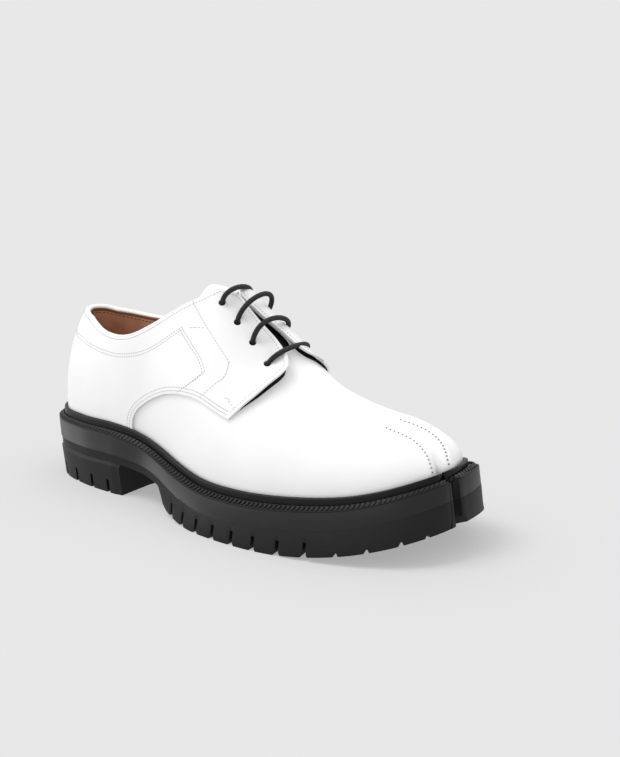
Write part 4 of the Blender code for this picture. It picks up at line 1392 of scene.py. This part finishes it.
def openSplit(plan, inset):  # the flat of the welt opens with the slot, the lip closes over it
    plan = plan.copy()
    front = plan[:, 0] > shoe["splitEnd"]
    away = plan[:, 1] - shoe["splitY"]
    near = np.exp(-(away / weltStrip["slideReach"]) ** 2)
    slide = weltStrip["slide"] * ease(weltStrip["slideFrom"], weltStrip["openTo"], inset) * near
    flare = np.where(away < 0, *splitFlare["slot"])
    least = (shoe["splitWidth"] / 2 + flare) * (1 - ease(weltStrip["openFrom"], weltStrip["openTo"], inset))
    wide = (np.abs(away) ** 4 + least**4) ** 0.25
    plan[:, 1] = np.where(front, shoe["splitY"] + np.sign(away) * wide - slide, plan[:, 1])
    return plan


weltRib = {"inset": 2.5, "pitch": 3.0, "size": (2.2, 0.95, 0.8), "slant": 58, "tilt": 38}


def makeWelt():  # and the line that its ribs follow
    nearSplit = np.abs(weltEdge[:, 1] - shoe["splitY"]) < weltStrip["lipGap"]
    atSplit = (weltEdge[:, 0] > shoe["length"] / 2) & nearSplit
    start = int(np.nonzero(atSplit)[0][-1]) + 1
    order = np.roll(np.arange(len(weltEdge)), -start)
    order = order[~atSplit[order]]
    picks = order[np.linspace(0, len(order) - 1, weltStrip["steps"]).round().astype(int)]
    rings = []
    for i in picks:
        section = weltSection(footInset[i])
        plan = openSplit(weltEdge[i] + weltInward[i] * section[:, :1], section[:, 0])
        rings.append(np.c_[plan, weltTop(plan[:, 0]) + section[:, 1]])
    piece = ringLoft("weltStrip", rings, weltStrip["smooth"], weltMaterial)
    line = weltEdge[picks] + weltInward[picks] * weltRib["inset"]
    line = openSplit(line, np.full(len(line), weltRib["inset"]))
    return piece, np.c_[line, weltTop(line[:, 0]) + weltStrip["slope"] / 2 - weltStrip["sunk"]]


weltPiece, ribLine = makeWelt()
settle(weltPiece, "welt_rubber", "welt")


# Repeats along a path: stitches, dark beads painting the shade in needle holes, and welt ribs
bead = {"segments": 8, "rings": 5, "lineEnd": 10.0}  # lines end before lineEnd, metres


def repeatTree(name, pivot):  # a small bead at each step along a curve, turned with it
    tree = bpy.data.node_groups.new(name, "GeometryNodeTree")
    sockets = (("Geometry", "Geometry"), ("Pitch", "Float"), ("Start", "Float"), ("Size", "Vector"),
               ("Slant", "Float"), ("Tilt", "Float"), ("Material", "Material"))
    for label, kind in sockets:
        tree.interface.new_socket(label, in_out="INPUT", socket_type="NodeSocket" + kind)
    tree.interface.new_socket("Geometry", in_out="OUTPUT", socket_type="NodeSocketGeometry")
    group = tree.nodes.new("NodeGroupInput")
    given = {label: Wire(tree, group.outputs[label]) for label, _ in sockets}
    add = given["Geometry"].node
    line = add("GeometryNodeTrimCurve", {"mode": "LENGTH"},
               {"Curve": given["Geometry"], 4: given["Start"], 5: bead["lineEnd"]})  # as lengths
    line = add("GeometryNodeResampleCurve", {"mode": "LENGTH"}, {"Curve": line, "Length": given["Pitch"]})
    shape = add("GeometryNodeMeshUVSphere", {},
                {"Segments": bead["segments"], "Rings": bead["rings"], "Radius": 1.0})
    shape = add("GeometryNodeTransform", {}, {"Geometry": shape, "Scale": given["Size"]})
    turned = add("FunctionNodeAlignRotationToVector", {"axis": "X", "pivot_axis": pivot},
                 {"Vector": add("GeometryNodeInputTangent", {}, {})})
    for label, axis in (("Tilt", (1.0, 0.0, 0.0)), ("Slant", (0.0, 0.0, 1.0))):
        turn = add("FunctionNodeAxisAngleToRotation", {}, {"Axis": axis, "Angle": given[label]})
        turned = add("FunctionNodeRotateRotation", {"rotation_space": "LOCAL"},
                     {"Rotation": turned, "Rotate By": turn})
    copies = add("GeometryNodeInstanceOnPoints", {}, {"Points": line, "Instance": shape, "Rotation": turned})
    real = add("GeometryNodeRealizeInstances", {}, {"Geometry": copies})
    painted = add("GeometryNodeSetMaterial", {}, {"Geometry": real, "Material": given["Material"]})
    tree.links.new(painted.socket, tree.nodes.new("NodeGroupOutput").inputs["Geometry"])
    return tree


threadTree = repeatTree("threadAlongSeam", "AUTO")
ribTree = repeatTree("ribAlongWelt", "Z")


def repeatAlong(name, tree, lines, slot, inputs):  # lines of points in frame metres
    curve = bpy.data.curves.new(name + "Path", "CURVE")
    curve.dimensions = "3D"
    for line in lines:
        spline = curve.splines.new("POLY")
        spline.points.add(len(line) - 1)
        for point, place in zip(spline.points, line):
            point.co = (*place, 1.0)
    piece = linkPiece(name, curve)
    modifier = piece.modifiers.new("repeat", "NODES")
    modifier.node_group = tree
    for item in tree.interface.items_tree:
        if item.in_out == "INPUT" and item.name in inputs:
            modifier[item.identifier] = inputs[item.name]
    piece = applyModifiers(piece)
    piece.data.shade_smooth()
    settle(piece, slot)


def surfaceTree(pieces):
    mesh = bmesh.new()
    for piece in pieces:
        mesh.from_mesh(piece.data)
    tree = BVHTree.FromBMesh(mesh)
    mesh.free()
    return tree


leatherSurface = surfaceTree((vamp, outerQuarter, innerQuarter))
dropFrom = {"above": 12.0, "reach": 30.0}


def layOn(tree, path, lift):  # points with normals, dropped onto the surface from outside
    line = []
    for point, normal in zip(toFrame(path[0]), path[1]):
        outward = Vector(normal.tolist())
        above = Vector(point.tolist()) + outward * dropFrom["above"] * mm
        place, facing, _, _ = tree.ray_cast(above, -outward, dropFrom["reach"] * mm)
        if place is not None:
            line.append(place + facing * lift * mm)
    return line


def sewRow(name, surface, paths, slot, material, pitch, size, lift, start=0.0):
    repeatAlong(name, threadTree, [layOn(surface, path, lift) for path in paths], slot, {
        "Pitch": pitch * mm, "Start": start * mm, "Size": [side * mm for side in size],
        "Material": material})


def sewSeam(name, paths, sewn, thread, holeShade):  # stitches, and dark beads between them that paint the shade in the needle holes
    pitch = sewn["pitch"]
    sewRow(name + "Stitches", leatherSurface, paths, "white_leather", thread, pitch, sewn["size"],
           sewn["lift"], pitch / 2)
    sewRow(name + "Holes", leatherSurface, paths, "white_leather", holeShade, pitch, (sewn["holeShade"],) * 3,
           sewn["holeLift"])


stitch = {
    "pitch": 2.0, "size": (0.775, 0.21, 0.21), "lift": 0.02, "holeShade": 0.2, "holeLift": -0.04,
    "edgeInset": 2.3, "seamInset": (1.9, 4.0), "cornerGap": (3, 2, 1), "lineSteps": 40, "tickSteps": 8,
}
# Stitch lines inside the quarters, as x and run, drawn for the outer one
seamLines = {
    "facing": ((131.0, 27.5), (143.2, 34.2), (155.4, 38.0), (165.4, 39.4)),
    "facingTurn": ((165.4, 39.4), (166.3, 45.6), (160.6, 58.6), (153.6, 71.5)),
    "bandTail": ((128.5, 44.7), (139.7, 50.0), (149.8, 54.3), (152.6, 57.2), (150.3, 61.5), (143.2, 71.0),
                 (136.0, 79.0)),
    "bandTailGap": (-1.6, 1.6),
    "ticks": (((134.6, 42.1), (143.2, 37.3)), ((170.6, 56.9), (173.2, 55.4)),
              ((173.4, 56.2), (178.2, 56.6))),
}
collarBand = {  # a double row from the heel's back under the collar
    "rule": Rule(("x", "run"), ((43, 40.1), (63.3, 59.6), (79.5, 68.8), (92.1, 69.2), (109.3, 61.8),
                                (119.9, 53.0), (128.5, 44.7))),
    "gap": 1.9, "back": (0.0, 40.0, 24), "steps": 60,
}
innerRise = {"share": 0.26, "from": 44.7}  # the inner quarter is shorter, so its lines end higher


def bandLine(flank, offset):
    rows = collarBand["rule"].rows
    drop = rows[0, 1] - float(flank.top(rows[0, 0]))
    back = np.linspace(*collarBand["back"])
    front = np.linspace(rows[0, 0], rows[-1, 0], collarBand["steps"])
    run = np.r_[flank.top(back) + drop, collarBand["rule"].at("run", front)] + offset
    return flank.place(np.r_[back, front], run)


def lineOn(flank, rows, count, shift=(0.0, 0.0)):
    x, run = (smoothLine(rows, count) + shift).T
    if flank.side > 0:
        run = run - innerRise["share"] * np.maximum(run - innerRise["from"], 0)
    return flank.place(x, run)


def seamPaths():
    paths = []
    for quarter in quarters.values():
        flank = quarter.flank
        last = 2 * (len(quarter.u) - 1)
        corner = last - quarterSheet["flapPoint"] * quarterSheet["perSpan"]
        seamEnd = last - quarterSheet["seamStart"] * quarterSheet["perSpan"]
        before, after, short = stitch["cornerGap"]
        paths.append(quarter.borderLine(stitch["edgeInset"], 0, corner - before))
        for inset in stitch["seamInset"]:
            paths.append(quarter.borderLine(inset, corner + after, seamEnd - short))
        for offset in (0.0, collarBand["gap"]):
            paths.append(bandLine(flank, offset))
        for key in ("facing", "facingTurn", "bandTail"):
            paths.append(lineOn(flank, seamLines[key], stitch["lineSteps"]))
        paths.append(lineOn(flank, seamLines["bandTail"], stitch["lineSteps"], seamLines["bandTailGap"]))
        for tick in seamLines["ticks"]:
            paths.append(lineOn(flank, tick, stitch["tickSteps"]))
    return paths


sewSeam("seam", seamPaths(), stitch, seamThread, needleHoleShade)

toeStitch = {
    "pitch": 2.5, "size": (0.95, 0.26, 0.26), "lift": 0.0, "holeShade": 0.64, "holeLift": -0.12, "from": 261.0,
    "to": 296.5, "toeFrom": 235, "steps": 60, "smoothSteps": 90,
}


def toeRowPaths():
    paths = []
    ahead = flanks[-1].stations > toeStitch["toeFrom"]
    cloud = np.concatenate([flank.points[ahead].reshape(-1, 3) for flank in flanks.values()])
    facing = np.concatenate([flank.normals[ahead].reshape(-1, 3) for flank in flanks.values()])
    x = np.linspace(toeStitch["to"], toeStitch["from"], toeStitch["steps"])
    for key in ("outer", "inner"):
        y = toeTrough["rows"].at(key, x)
        near = [int(np.argmin(np.hypot(cloud[:, 0] - a, cloud[:, 1] - b))) for a, b in zip(x, y)]
        line = np.c_[x, y, cloud[near, 2]]
        paths.append([smoothLine(points, toeStitch["smoothSteps"]) for points in (line, facing[near])])
    return paths


sewSeam("toe", toeRowPaths(), toeStitch, whiteMaterial, toeHoleShade)
repeatAlong("weltRibs", ribTree, [[Vector(point) for point in toFrame(ribLine).tolist()]], "welt_rubber", {
    "Pitch": weltRib["pitch"] * mm, "Start": 0.0, "Size": [side * mm for side in weltRib["size"]],
    "Slant": math.radians(weltRib["slant"]), "Tilt": math.radians(weltRib["tilt"]), "Material": ribMaterial})

liningStitch = {
    "pitch": 2.7, "size": (1.05, 0.3, 0.3), "lift": 0.05, "drop": 4.0, "depth": 2.0,
    "spans": ((0, 40, 24), (40, 140, 70)),
}


def liningPaths():
    paths = []
    q = stationsOver(liningStitch["spans"])
    for flank in flanks.values():
        points, normals = flank.place(q, flank.top(q) + liningStitch["drop"])
        paths.append((points - normals * liningStitch["depth"], -normals))
    return paths


sewRow("liningStitches", surfaceTree((lining,)), liningPaths(), "tan_leather", brownThread,
       liningStitch["pitch"], liningStitch["size"], liningStitch["lift"])

# Floor, light
studio = {"tone": 0.806, "floorGlow": 0.36, "floorSize": 60.0}
softSuns = (  # name, direction to it, strength, width in degrees, what it falls on
    ("overhead", (-0.36, -0.30, 0.88), 1.4, 30.0, "all"),
    ("left", (-0.87, -0.45, 0.10), 0.88, 50.0, "shoe"),
    ("front", (0.18, -0.92, 0.30), 0.38, 60.0, "shoe"),
    ("back", (0.02, 0.68, 0.73), 1.0, 45.0, "shoe"),
    ("waist", (-0.95, -0.19, -0.24), 0.33, 34.0, "midsole"),
    ("edges", (-0.60, -0.50, 0.62), 0.4, 40.0, "sole"),
)


def makeFloor():  # as bright as the wall behind, so that they run into each other
    light = studio["tone"]
    for _, toward, strength, _, falls in softSuns:
        if falls == "all":
            light += strength * Vector(toward).normalized().z / math.pi
    material, shader, _ = startMaterial("floorPaper")
    connect(shader, {}, {
        "Base Color": grey((studio["tone"] - studio["floorGlow"]) / light), "Roughness": 1.0,
        "Specular IOR Level": 0.0, "Emission Color": grey(1.0), "Emission Strength": studio["floorGlow"]})
    size = studio["floorSize"]
    data = bpy.data.meshes.new("floor")
    corners = [(x * size, y * size, 0.0) for x, y in ((-1, -1), (1, -1), (1, 1), (-1, 1))]
    data.from_pydata(corners, [], [(0, 1, 2, 3)])
    data.materials.append(material)
    floor = linkPiece("floor", data)
    return floor


def makeWorld():
    world = bpy.data.worlds.new("studio")
    bpy.context.scene.world = world
    world.use_nodes = True
    world.node_tree.nodes["Background"].inputs["Color"].default_value = grey(studio["tone"])


def makeReceivers(floor):  # collections that keep a light off the floor, or on the sole or the midsole
    groups = {"all": None}
    midsole = [piece for piece in solePieces if piece.name == "midsoleLayer"]
    for name, pieces, state in (("shoe", [floor], "EXCLUDE"), ("sole", solePieces, "INCLUDE"),
                                ("midsole", midsole, "INCLUDE")):
        groups[name] = bpy.data.collections.new(name + "Light")
        for number, piece in enumerate(pieces):
            groups[name].objects.link(piece)
            groups[name].collection_objects[number].light_linking.link_state = state
    return groups


def makeLights(floor):
    groups = makeReceivers(floor)
    for name, toward, strength, width, falls in softSuns:
        data = bpy.data.lights.new(name, "SUN")
        data.energy = strength
        data.angle = math.radians(width)
        light = bpy.data.objects.new(name, data)
        bpy.context.scene.collection.objects.link(light)
        light.matrix_world = Vector(toward).to_track_quat("Z", "Y").to_matrix().to_4x4()
        light.light_linking.receiver_collection = groups[falls]
        if toward[2] < 0:
            light.light_linking.blocker_collection = groups["shoe"]  # the floor does not hide it


makeLights(makeFloor())
makeWorld()
bpy.context.scene.view_settings.view_transform = "Standard"
print("stage: studio")
